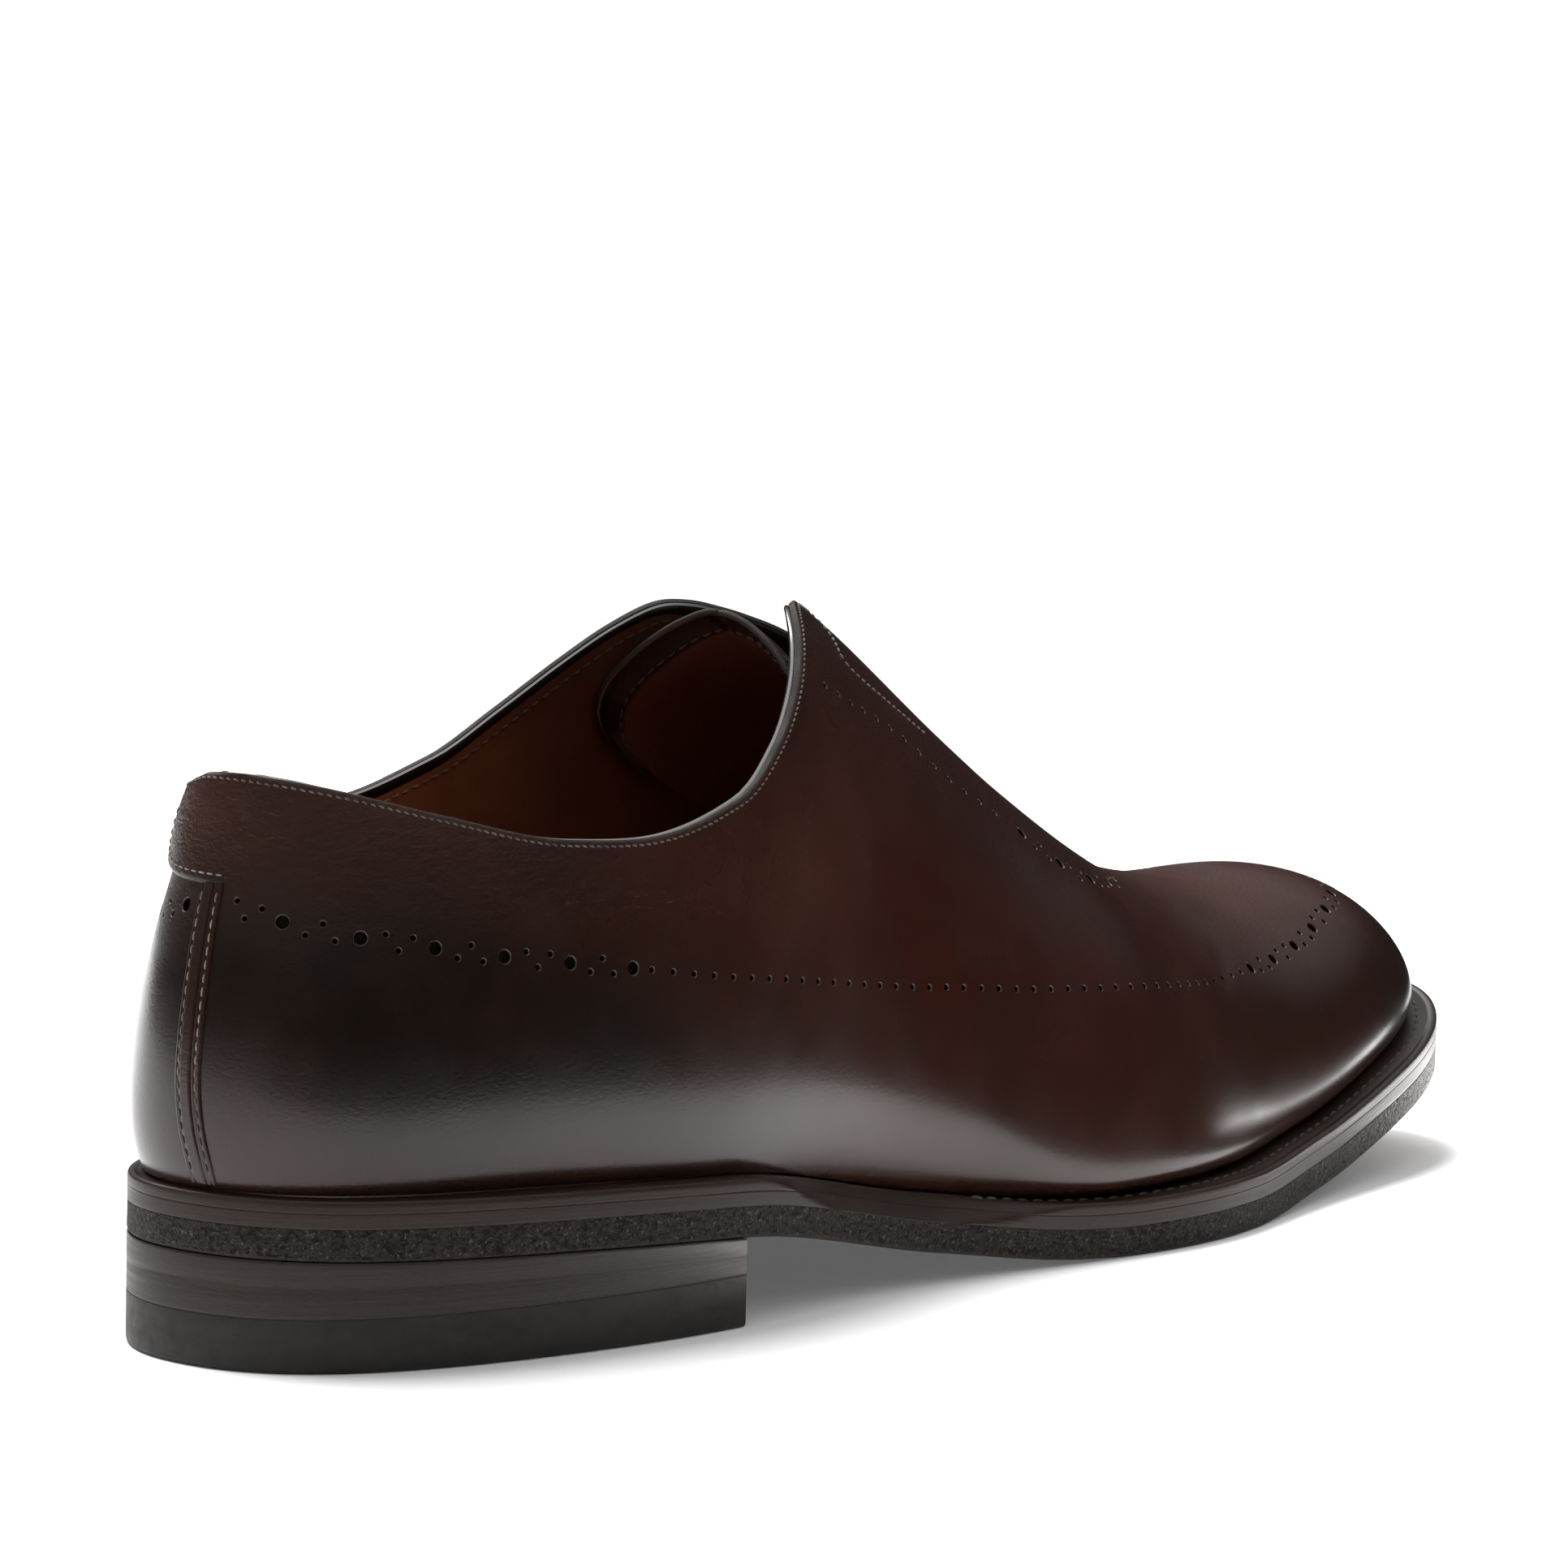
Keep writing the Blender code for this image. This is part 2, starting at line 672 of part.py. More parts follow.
def build_tongue():
    """Tongue under the throat: it follows the inside of the upper and ends in a round top."""
    across = np.linspace(-1, 1, 33)
    along = np.linspace(0, 1, 16)
    rear = tongue_rear(np.abs(across)) - TONGUE_SKEW * across
    x = rear[None, :] + (TONGUE_FRONT - rear)[None, :] * along[:, None]
    angles = upper.angle_at(x)
    rises = 1 - np.abs(across)[None, :] * (1 - TONGUE_EDGE_RISE) + 0 * angles
    lateral = upper_point(angles, rises, LATERAL)
    medial = upper_point(angles, rises, MEDIAL)
    points = np.where((across < 0)[None, :, None], lateral, medial)
    inward = grid_normals(points)
    if inward[0, len(across) // 2, 2] > 0:
        inward = -inward
    sink = TONGUE_SINK * np.clip(1 - (across / TONGUE_SINK_REACH) ** 2, 0, 1)
    outer = points + inward * (WALL + TONGUE_CLEARANCE + sink)[None, :, None]
    shell("tongue", outer + inward * TONGUE_THICKNESS, outer, make_material("tongue_leather"))


for leftover in list(bpy.data.objects):
    bpy.data.objects.remove(leftover)

half_breadths = [sole.breadth(np.linspace(0, math.pi, 400), side).max() for side in (LATERAL, MEDIAL)]
shoe = bpy.data.objects.new("shoe", None)
shoe.location = (-SOLE_LENGTH / 2 * MM, (half_breadths[0] - half_breadths[1]) / 2 * MM, 0.0)
bpy.context.scene.collection.objects.link(shoe)

upper_leather = make_material("upper_leather")
build_heel()
build_sole()
build_insole()
build_upper(upper_leather)
build_heel_overlays(upper_leather)
build_tongue()
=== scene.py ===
"""Dressed slip-on shoe: fine leather, seams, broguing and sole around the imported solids.

Design sizes are in millimetres. X runs from the back of the heel to the toe, Y towards the inner
(medial) side of the foot and Z up from the floor, as in the solids.
"""

import math

import bmesh
import bpy
import numpy as np
from mathutils import Matrix, Vector


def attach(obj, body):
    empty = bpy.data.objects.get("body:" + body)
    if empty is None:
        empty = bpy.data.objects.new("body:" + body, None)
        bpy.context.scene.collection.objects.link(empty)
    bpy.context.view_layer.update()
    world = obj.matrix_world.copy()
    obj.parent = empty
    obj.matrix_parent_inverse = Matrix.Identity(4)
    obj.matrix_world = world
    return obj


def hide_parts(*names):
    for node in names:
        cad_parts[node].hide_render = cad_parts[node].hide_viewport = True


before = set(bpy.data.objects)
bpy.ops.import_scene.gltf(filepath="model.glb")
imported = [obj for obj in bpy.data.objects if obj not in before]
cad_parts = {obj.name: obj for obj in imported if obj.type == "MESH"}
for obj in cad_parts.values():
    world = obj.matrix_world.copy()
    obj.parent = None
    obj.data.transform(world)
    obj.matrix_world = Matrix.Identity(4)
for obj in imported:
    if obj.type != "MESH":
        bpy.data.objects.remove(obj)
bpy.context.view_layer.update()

MM = 0.001
LATERAL = -1
MEDIAL = 1
SIDES = (LATERAL, MEDIAL)
RISE_SAMPLES = 241
OUTLINE_SAMPLES = 400


# Driving sizes of the sole
SOLE_LENGTH = 303.0
HEEL_LENGTH = 78.5
HEEL_RADIUS = 33.0
TOE_RADIUS = 27.0
TOP_LIFT = 8.0
OUTSOLE = 4.8
MIDSOLE = 2.3
WELT = 1.9
WELT_WIDTH = 15.0
BEVEL_DEPTH = 4.5
SEAM_GAP = 0.3
LEATHER = MIDSOLE + WELT

# Driving sizes of the upper
UPPER_BACK = 1.0
UPPER_TIP = 299.5
UPPER_HEEL_RADIUS = 31.0
UPPER_TOE_RADIUS = 25.0
TOE_SPRING_REACH = 70.0
WALL = 2.2
SLIT_END = 178.0
EAR_ROUNDING = 0.02
THROAT_BACK = 82.0
EAR_FRONT = 130.0

# Driving sizes of the overlays and the tongue
TAB_LOW = 68.6
TAB_THICKNESS = 1.3
TAB_LATERAL_ANGLE = -0.40
TAB_MEDIAL_ANGLE = 0.35
TAB_CORNER_ANGLE = -0.012
TAB_SQUARENESS = 4.3
TAB_HEIGHT_OVER_WELT = 60.0
STRIP_FOOT = 2.0
TONGUE_THICKNESS = 2.0
TONGUE_CLEARANCE = 0.7
TONGUE_FRONT = 205.0
TONGUE_SKEW = 2.0
TONGUE_SINK = 5.2
TONGUE_SINK_REACH = 0.85
TONGUE_EDGE_RISE = 0.46

SOLE_OUTLINE = (
    # share of length, lateral half breadth, medial half breadth
    (0.05, 24.5, 24.5), (0.13, 34.0, 34.0), (0.26, 40.3, 34.0), (0.40, 40.2, 31.0),
    (0.52, 46.0, 36.0), (0.62, 49.3, 44.0), (0.72, 43.6, 48.5), (0.82, 37.3, 45.0),
    (0.92, 29.5, 33.0),
)

SOLE_UNDERSIDE = (
    # distance from the heel back, height of the outsole's underside
    (0.0, 16.5), (78.5, 13.4), (127.0, 4.8), (158.0, 0.5), (170.0, 0.0), (202.0, 0.0), (230.0, 2.4),
    (266.0, 9.5), (303.0, 18.3),
)

WAIST_BEVEL = (
    # distance from the heel back, share of the leather edge below the bevel
    (83.0, 1.0), (103.0, 0.0), (126.0, 0.0), (155.0, 1.0),
)

UPPER_BREADTH = (
    # share of length, lateral half breadth, medial half breadth, lateral tuck, medial tuck
    (0.05, 24.2, 24.9, 3.6, 3.6),
    (0.13, 33.0, 33.6, 3.6, 3.6),
    (0.26, 39.2, 35.0, 3.0, 3.4),
    (0.40, 38.6, 32.0, 5.0, 6.0),
    (0.52, 43.5, 35.8, 3.4, 4.0),
    (0.62, 45.9, 41.6, 2.8, 2.8),
    (0.72, 40.0, 44.6, 2.6, 2.6),
    (0.82, 34.0, 40.6, 2.6, 2.6),
    (0.92, 26.4, 27.5, 2.6, 2.6),
)

UPPER_RIDGE = (
    # share of length, height over the floor, offset towards the medial side, fullness of the arch
    (0.00, 106.5, 0.0, 2.20),
    (0.13, 110.0, 0.0, 2.30),
    (0.26, 116.5, 0.0, 2.50),
    (0.40, 104.8, 0.5, 1.80),
    (0.52, 84.4, 1.5, 1.58),
    (0.62, 65.6, 2.0, 1.80),
    (0.72, 53.6, 2.5, 1.95),
    (0.82, 49.8, 3.0, 2.05),
    (0.92, 47.8, 2.5, 2.15),
)

TUCK_HEIGHT = (
    # share of length, height over which the lower edge of the upper curves in
    (0.00, 7.0), (0.30, 7.0), (0.42, 6.0), (0.46, 5.0), (0.49, 3.0), (0.52, 1.7), (0.56, 1.1),
    (0.72, 1.1), (0.82, 1.3), (0.90, 1.7), (1.00, 1.9),
)

HEEL_CURVE = (
    # height over the welt, distance that the back stands forward of the heel back
    (0.0, -2.6), (20.0, -0.2), (34.0, 2.8), (44.0, 5.6), (70.0, 10.9), (120.0, 22.6),
)

COLLAR = (
    # distance from the heel back, height of the collar edge over the floor: lateral, medial
    (0.0, 87.0, 87.0), (10.2, 84.75, 84.75), (10.6, 84.6, 84.6), (12.0, 84.3, 83.6),
    (14.5, 83.6, 82.6), (18.0, 82.65, 81.4), (30.0, 79.2, 78.7), (50.0, 74.6, 74.9),
    (62.0, 74.0, 74.6), (84.0, 78.4, 79.5), (96.0, 85.3, 86.5), (106.0, 92.8, 93.8),
    (113.0, 98.4, 99.2), (119.0, 102.4, 103.0), (126.0, 104.9, 105.4),
)

SLIT = (
    # distance from the heel back, half width of the open slit between the two ears
    (96.0, 0.0), (112.0, 12.0), (120.0, 11.0), (127.0, 8.6), (134.0, 6.2), (146.0, 3.0),
    (178.0, 0.8),
)

STRIP_PATH = (
    # height over the floor, offset of the strip's middle towards the medial side
    (26.0, -2.5), (30.0, -1.8), (35.0, -0.7), (42.0, 0.2), (50.0, 0.5), (66.0, 1.4),
)

TONGUE_REAR = (
    # share of the tongue's half width, distance of its rear edge from the heel back
    (0.00, 113.0), (0.20, 112.6), (0.36, 112.0), (0.53, 110.5), (0.71, 108.6), (0.79, 108.0),
    (0.88, 108.8), (0.94, 111.5), (1.00, 121.0),
)


def columns(table):
    """The columns of a table, one array each."""
    return np.array(table, float).T


def natural_spline(knots, values):
    """Smooth curve through the knots, without bend at its two ends."""
    count = len(knots)
    step = np.diff(knots)
    matrix = np.eye(count)
    bend = np.zeros(count)
    for i in range(1, count - 1):
        matrix[i, i - 1 : i + 2] = step[i - 1], 2 * (step[i - 1] + step[i]), step[i]
        bend[i] = 6 * ((values[i + 1] - values[i]) / step[i] - (values[i] - values[i - 1]) / step[i - 1])
    bend = np.linalg.solve(matrix, bend)

    def curve(x):
        i = np.clip(np.searchsorted(knots, x) - 1, 0, count - 2)
        width = step[i]
        after = x - knots[i]
        before = knots[i + 1] - x
        cubic = (bend[i] * before**3 + bend[i + 1] * after**3) / (6 * width)
        left = (values[i] / width - bend[i] * width / 6) * before
        right = (values[i + 1] / width - bend[i + 1] * width / 6) * after
        return cubic + left + right

    return curve


def monotone_curve(table):
    """Curve through the rows of a two-column table that never overshoots them, held level past its ends."""
    knots, values = columns(table)
    step = np.diff(knots)
    rise = np.diff(values) / step
    slope = np.concatenate([rise[:1], np.zeros(len(rise) - 1), rise[-1:]])
    for i in range(1, len(rise)):
        if rise[i - 1] * rise[i] > 0:
            before = 2 * step[i] + step[i - 1]
            after = step[i] + 2 * step[i - 1]
            slope[i] = (before + after) / (before / rise[i - 1] + after / rise[i])

    def curve(x):
        i = np.clip(np.searchsorted(knots, x) - 1, 0, len(step) - 1)
        t = np.clip((x - knots[i]) / step[i], 0, 1)
        start = (2 * t**3 - 3 * t**2 + 1) * values[i] + (t**3 - 2 * t**2 + t) * step[i] * slope[i]
        end = (3 * t**2 - 2 * t**3) * values[i + 1] + (t**3 - t**2) * step[i] * slope[i + 1]
        return start + end

    return curve


def sweep(share):
    """Sweep angle of a share of the length: 0 at the back, pi at the tip, with close steps at both ends."""
    return np.arccos(1 - 2 * np.asarray(share, float))


def share_of(angle):
    """Share of the length at a sweep angle."""
    return (1 - np.cos(angle)) / 2


class Outline:
    """Plan outline with a round back and tip, given by half breadths along its length."""

    def __init__(self, back, tip, shares, lateral, medial, back_radius, tip_radius):
        self.back = back
        self.length = tip - back
        ends = np.sqrt(np.array([back_radius, tip_radius]) * self.length / 2)
        angles = sweep(shares)
        knots = np.concatenate([[0], angles, [math.pi]])
        self.curves = {}
        for side, breadths in zip(SIDES, (lateral, medial)):
            reach = np.concatenate([ends[:1], breadths / np.sin(angles), ends[1:]])
            self.curves[side] = natural_spline(knots, reach)

    def breadth(self, angle, side):
        return np.sin(angle) * self.curves[side](angle)

    def inward(self, angle, side):
        """Unit vector in plan that points from the outline into it."""
        nudge = 1e-3
        first = np.clip(angle - nudge, 0, math.pi - 2 * nudge)
        along_x = nudge * self.length * np.sin(angle)
        along_y = self.breadth(first + 2 * nudge, side) - self.breadth(first, side)
        size = np.hypot(along_x, along_y)
        return along_y / size, -side * along_x / size

    def inset(self, angle, side, distance):
        """Point of the outline, moved inwards by a distance."""
        inward_x, inward_y = self.inward(angle, side)
        x = self.back + self.length * share_of(angle) + distance * inward_x
        return x, side * self.breadth(angle, side) + distance * inward_y

    def angle_at(self, x):
        return sweep((x - self.back) / self.length)


def side_curves(table):
    """Curves through a table of places, lateral and medial values, one for each side."""
    places, *sides = columns(table)
    return {side: monotone_curve(np.stack([places, values], 1)) for side, values in zip(SIDES, sides)}


sole = Outline(0.0, SOLE_LENGTH, *columns(SOLE_OUTLINE), HEEL_RADIUS, TOE_RADIUS)
underside = monotone_curve(SOLE_UNDERSIDE)
bevel_start = monotone_curve(WAIST_BEVEL)
breadths = np.array(UPPER_BREADTH)
upper = Outline(UPPER_BACK, UPPER_TIP, *columns(breadths[:, :3]), UPPER_HEEL_RADIUS, UPPER_TOE_RADIUS)
tuck = side_curves(breadths[:, [0, 3, 4]])
collar = side_curves(COLLAR)
heel_curve = monotone_curve(HEEL_CURVE)
slit = monotone_curve(SLIT)
tuck_height = monotone_curve(TUCK_HEIGHT)
tongue_rear = monotone_curve(TONGUE_REAR)
strip_offset = monotone_curve(STRIP_PATH)


def welt_top(x):
    """Height of the welt's upper face, which carries the upper."""
    return underside(x) + OUTSOLE + LEATHER


ridge_shares, ridge_heights, ridge_offsets, ridge_fullness = columns(UPPER_RIDGE)
ridge_angles = sweep(ridge_shares)
ridge_above_welt = ridge_heights - welt_top(UPPER_BACK + upper.length * ridge_shares)
ridge_reach = natural_spline(
    np.append(ridge_angles, math.pi),
    np.append(ridge_above_welt / np.cos(ridge_angles / 2), TOE_SPRING_REACH),
)
ridge_offset = natural_spline(np.append(ridge_angles, math.pi), np.append(ridge_offsets, 0.0))
fullness = natural_spline(ridge_angles, ridge_fullness)


def ridge_height(angle):
    """Height of the ridge over the welt, which falls in a round to nothing at the toe."""
    return np.cos(angle / 2) * ridge_reach(angle)


def tuck_shift(angle, height, side):
    """Plan shift that pulls the lower edge of the upper in towards the welt's seam."""
    inward_x, inward_y = upper.inward(angle, side)
    share = share_of(angle)
    pull = tuck[side](share) * np.exp(-height / tuck_height(share))
    return pull * inward_x, pull * inward_y


def upper_foot(angle, side):
    """Height over the floor of the upper's lower edge."""
    share = share_of(angle)
    x = UPPER_BACK + upper.length * share + heel_curve(0.0) * (1 - share) + tuck_shift(angle, 0.0, side)[0]
    return welt_top(x) + SEAM_GAP


def shared(own, other, closing):
    """A side's own value at the welt, passing to the mean of both sides on the ridge."""
    return closing * own + (1 - closing) * (own + other) / 2


def upper_point(angle, rise, side):
    """Point on the outside of the upper. Rise runs from 0 at the welt to 1 on the ridge."""
    share = share_of(angle)
    height = ridge_height(angle) * np.sin(rise * math.pi / 2)
    closing = np.clip(np.cos(rise * math.pi / 2), 0, 1) ** (2 / fullness(angle))
    shift_x, shift_y = tuck_shift(angle, height, side)
    other_x = tuck_shift(angle, height, -side)[0]
    forward = heel_curve(height) * (1 - share)
    middle = ridge_offset(angle)
    x = UPPER_BACK + upper.length * share + forward + shared(shift_x, other_x, closing)
    y = middle + (side * upper.breadth(angle, side) - middle + shift_y) * closing
    z = shared(upper_foot(angle, side), upper_foot(angle, -side), closing) + height
    return np.stack(np.broadcast_arrays(x, y, z), -1)


def rise_at_height(angle, z, side):
    """Rise at which the upper reaches a height over the floor."""
    return np.arcsin(np.clip((z - upper_foot(angle, side)) / ridge_height(angle), 0, 1)) * 2 / math.pi


def first_crossing(rises, excess):
    """Rise at which each row of a table of excesses first turns positive, or 1 where it never does."""
    found = np.ones(len(excess))
    for row, values in enumerate(excess):
        above = int(np.argmax(values > 0))
        if above > 0:
            low, high = values[above - 1], values[above]
            found[row] = rises[above - 1] + (rises[above] - rises[above - 1]) * low / (low - high)
    return found


def top_edge(angles, side):
    """Rise of the upper's top edge: the collar, the edge of the slit, and then the closed ridge."""
    rises = np.linspace(0, 1, RISE_SAMPLES)
    points = upper_point(angles[:, None], rises[None, :], side)
    x, y, z = np.moveaxis(points, -1, 0)
    at_collar = first_crossing(rises, z - collar[side](x))
    at_slit = first_crossing(rises, slit(x) - side * (y - ridge_offset(angles)[:, None]))
    lower, higher = np.minimum(at_collar, at_slit), np.maximum(at_collar, at_slit)
    rounded = lower - EAR_ROUNDING * np.log1p(np.exp((lower - higher) / EAR_ROUNDING))
    return np.where(x[:, -1] < SLIT_END, rounded, 1.0)


def grid_normals(points):
    """Unit normals of a grid of points."""
    down = np.gradient(points, axis=0)
    across = np.gradient(points, axis=1)
    normals = np.cross(down, across)
    return normals / np.linalg.norm(normals, axis=-1, keepdims=True)


# Fine surface of the upper, and the tools that build meshes on it
half_breadths = [sole.breadth(np.linspace(0, math.pi, OUTLINE_SAMPLES), side).max() for side in SIDES]
DESIGN_SHIFT = np.array([-SOLE_LENGTH / 2, (half_breadths[0] - half_breadths[1]) / 2, 0.0])
NUDGE = 2e-3
TIP_ANGLE = math.pi * 0.9985
MERGE_DISTANCE = 0.002
SHORTEST_EDGE = 0.001


def to_world(points):
    return (np.asarray(points, float) + DESIGN_SHIFT) * MM


def by_side(signed, values_of):
    """Values of a function of angle and side at signed sweep angles, negative on the lateral side."""
    lateral, medial = (values_of(np.abs(signed), side) for side in SIDES)
    is_lateral = (signed < 0).reshape(signed.shape + (1,) * (lateral.ndim - signed.ndim))
    return np.where(is_lateral, lateral, medial)


def surface(signed, rise):
    """Outside of the upper at signed sweep angles. A rise over 1 runs down the other side."""
    signed, rise = np.broadcast_arrays(np.asarray(signed, float), np.asarray(rise, float))
    over = rise > 1
    signed = np.where(over, -signed, signed)
    rise = np.where(over, 2 - rise, rise)
    signed = (signed + math.pi) % (2 * math.pi) - math.pi
    return by_side(signed, lambda angle, side: upper_point(angle, rise, side))


def unit(vectors):
    return vectors / np.maximum(np.linalg.norm(vectors, axis=-1, keepdims=True), 1e-9)


def upward(signed, rise):
    """Change of place with the rise: its length is the surface's millimetres for one unit of rise."""
    low = np.maximum(rise - NUDGE, 0.0)
    return (surface(signed, rise + NUDGE) - surface(signed, low)) / (rise + NUDGE - low)[..., None]


def onward(signed, rise):
    """Change of place between two sweep angles that lie a nudge before and after."""
    return surface(signed + NUDGE, rise) - surface(signed - NUDGE, rise)


def outward(signed, rise):
    """Unit normal of the upper's outside."""
    signed, rise = np.broadcast_arrays(np.asarray(signed, float), np.asarray(rise, float))
    return unit(np.cross(upward(signed, rise), onward(signed, rise)))


def signed_top(signed):
    """Rise of the top edge at signed sweep angles."""
    return by_side(signed, top_edge)


def smooth_step(low, high, value):
    t = np.clip((value - low) / (high - low), 0, 1)
    return t * t * (3 - 2 * t)


def put(name, data):
    """New object in the scene."""
    item = bpy.data.objects.new(name, data)
    bpy.context.scene.collection.objects.link(item)
    return item


def new_piece(name, points, faces, materials, slots=None, sharp_degrees=40):
    """Object of a mesh given in design millimetres, with merged points and smooth faces."""
    mesh = bpy.data.meshes.new(name)
    mesh.from_pydata(to_world(points).tolist(), [], faces)
    for material in materials:
        mesh.materials.append(material)
    if slots is not None:
        mesh.polygons.foreach_set("material_index", np.asarray(slots, np.int32))
    work = bmesh.new()
    work.from_mesh(mesh)
    bmesh.ops.remove_doubles(work, verts=work.verts, dist=MERGE_DISTANCE * MM)
    bmesh.ops.dissolve_degenerate(work, edges=work.edges, dist=SHORTEST_EDGE * MM)
    loose = [vert for vert in work.verts if not vert.link_faces]
    bmesh.ops.delete(work, geom=loose, context="VERTS")
    bmesh.ops.recalc_face_normals(work, faces=work.faces)
    work.to_mesh(mesh)
    work.free()
    mesh.shade_smooth()
    mesh.set_sharp_from_angle(angle=math.radians(sharp_degrees))
    return put(name, mesh)


def dress(piece, slot, *nodes):
    """Puts a piece on the shoe's body and hides the solids that it stands for. The slot is not used."""
    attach(piece, "root")
    if nodes:
        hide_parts(*nodes)
    return piece


def grid_faces(rows, cols, start=0, wrap_rows=False, wrap_cols=False):
    """Quads of a grid of points, stored row by row."""
    faces = []
    for r in range(rows if wrap_rows else rows - 1):
        here = start + r * cols
        there = start + (r + 1) % rows * cols
        for c in range(cols if wrap_cols else cols - 1):
            d = (c + 1) % cols
            faces.append((here + c, here + d, there + d, there + c))
    return faces


def loft(name, sections, materials, ring=False):
    """Solid through closed sections with equally many points, capped at open ends."""
    sections = np.asarray(sections, float)
    rows, cols = sections.shape[:2]
    faces = grid_faces(rows, cols, wrap_rows=ring, wrap_cols=True)
    if not ring:
        faces.append(tuple(range((rows - 1) * cols, rows * cols)))
    return new_piece(name, sections.reshape(-1, 3), faces, materials)


def pad(name, angles, rises, height, sink, material):
    """Closed pad on the upper: its face stands over the upper's outside, its back lies sunk below it."""
    rows, cols = angles.shape
    base = surface(angles, rises)
    normals = outward(angles, rises)
    face = base + normals * height[..., None]
    back = base - normals * sink
    points = np.concatenate([face.reshape(-1, 3), back.reshape(-1, 3)])
    size = rows * cols
    faces = grid_faces(rows, cols)
    faces += [tuple(size + i for i in quad[::-1]) for quad in grid_faces(rows, cols)]
    rim = list(range(cols)) + [r * cols + cols - 1 for r in range(1, rows)]
    rim += [(rows - 1) * cols + c for c in range(cols - 2, -1, -1)]
    rim += [r * cols for r in range(rows - 2, 0, -1)]
    for i, a in enumerate(rim):
        b = rim[(i + 1) % len(rim)]
        faces.append((a, b, size + b, size + a))
    return new_piece(name, points, faces, (material,))


def arc_lengths(points):
    """Distance along a path to each of its points."""
    return np.concatenate([[0], np.cumsum(np.linalg.norm(np.diff(points, axis=0), axis=1))])


def spread(points, pitch):
    """Arc positions along a path, a pitch apart, as fractions of its point numbers."""
    run = arc_lengths(points)
    return np.interp(np.arange(pitch / 2, run[-1], pitch), run, np.arange(len(points)))


def at(values, places):
    """Values between the rows of an array, at fractional row numbers."""
    low = np.minimum(places.astype(int), len(values) - 2)
    share = (places - low)[:, None]
    return values[low] * (1 - share) + values[low + 1] * share


def circle(sides):
    """Angles of evenly spaced points on a circle."""
    return np.arange(sides) * 2 * math.pi / sides


STITCH_RINGS = (
    # share of the half length, share of the radius
    (-1.0, 0.0), (-0.82, 0.62), (-0.45, 0.95), (0.0, 1.0), (0.45, 0.95), (0.82, 0.62), (1.0, 0.0),
)
STITCH_SIDES = 6
STITCH_DIP = 0.9


def stitch_row(points, normals, pitch, length, radius, lift, slant=0.0):
    """Points and faces of thread stitches along a path, each a small rounded bar that dips at its ends."""
    places = spread(points, pitch)
    centres = at(points, places)
    up = unit(at(normals, places))
    step = 0.3
    top = len(points) - 1.0
    along = unit(at(points, np.clip(places + step, 0, top)) - at(points, np.clip(places - step, 0, top)))
    beside = unit(np.cross(up, along))
    along = unit(along + slant * beside)
    beside = unit(np.cross(up, along))
    verts = []
    faces = []
    for centre, u, a, b in zip(centres, up, along, beside):
        faces += grid_faces(len(STITCH_RINGS), STITCH_SIDES, len(verts), wrap_cols=True)
        for reach, width in STITCH_RINGS:
            middle = centre + a * reach * length / 2 + u * (lift - STITCH_DIP * radius * reach**2)
            for turn in circle(STITCH_SIDES):
                verts.append(middle + radius * width * (b * math.cos(turn) + u * math.sin(turn)))
    return verts, faces


def stitches(name, rows, material, slot):
    """One piece of all the stitches of several rows."""
    points = []
    faces = []
    for verts, quads in rows:
        start = len(points)
        points += verts
        faces += [tuple(start + i for i in quad) for quad in quads]
    return dress(new_piece(name, points, faces, (material,), sharp_degrees=80), slot)


# Materials
def design_points(piece):
    """Mesh points of a piece, back in design millimetres."""
    flat = np.empty(len(piece.data.vertices) * 3)
    piece.data.vertices.foreach_get("co", flat)
    return flat.reshape(-1, 3) / MM - DESIGN_SHIFT


def store(piece, name, values):
    """Keeps one number for each mesh point, for the materials to read."""
    attribute = piece.data.attributes.new(name, "FLOAT", "POINT")
    attribute.data.foreach_set("value", np.asarray(values, np.float32))


def opaque(colour):
    """A plain colour with full opacity. What comes out of a node passes as it is."""
    return (*colour, 1.0) if isinstance(colour, tuple) else colour


class Nodes:
    """A node tree, and short ways to add nodes to it."""

    def __init__(self, tree):
        self.tree = tree

    def feed(self, socket, value):
        if isinstance(value, bpy.types.NodeSocket):
            self.tree.links.new(value, socket)
        else:
            socket.default_value = value

    def add(self, kind, *values, **settings):
        """New node. Values feed its sockets in order."""
        node = self.tree.nodes.new(kind)
        for key, value in settings.items():
            setattr(node, key, value)
        for socket, value in zip(node.inputs, values):
            self.feed(socket, value)
        return node


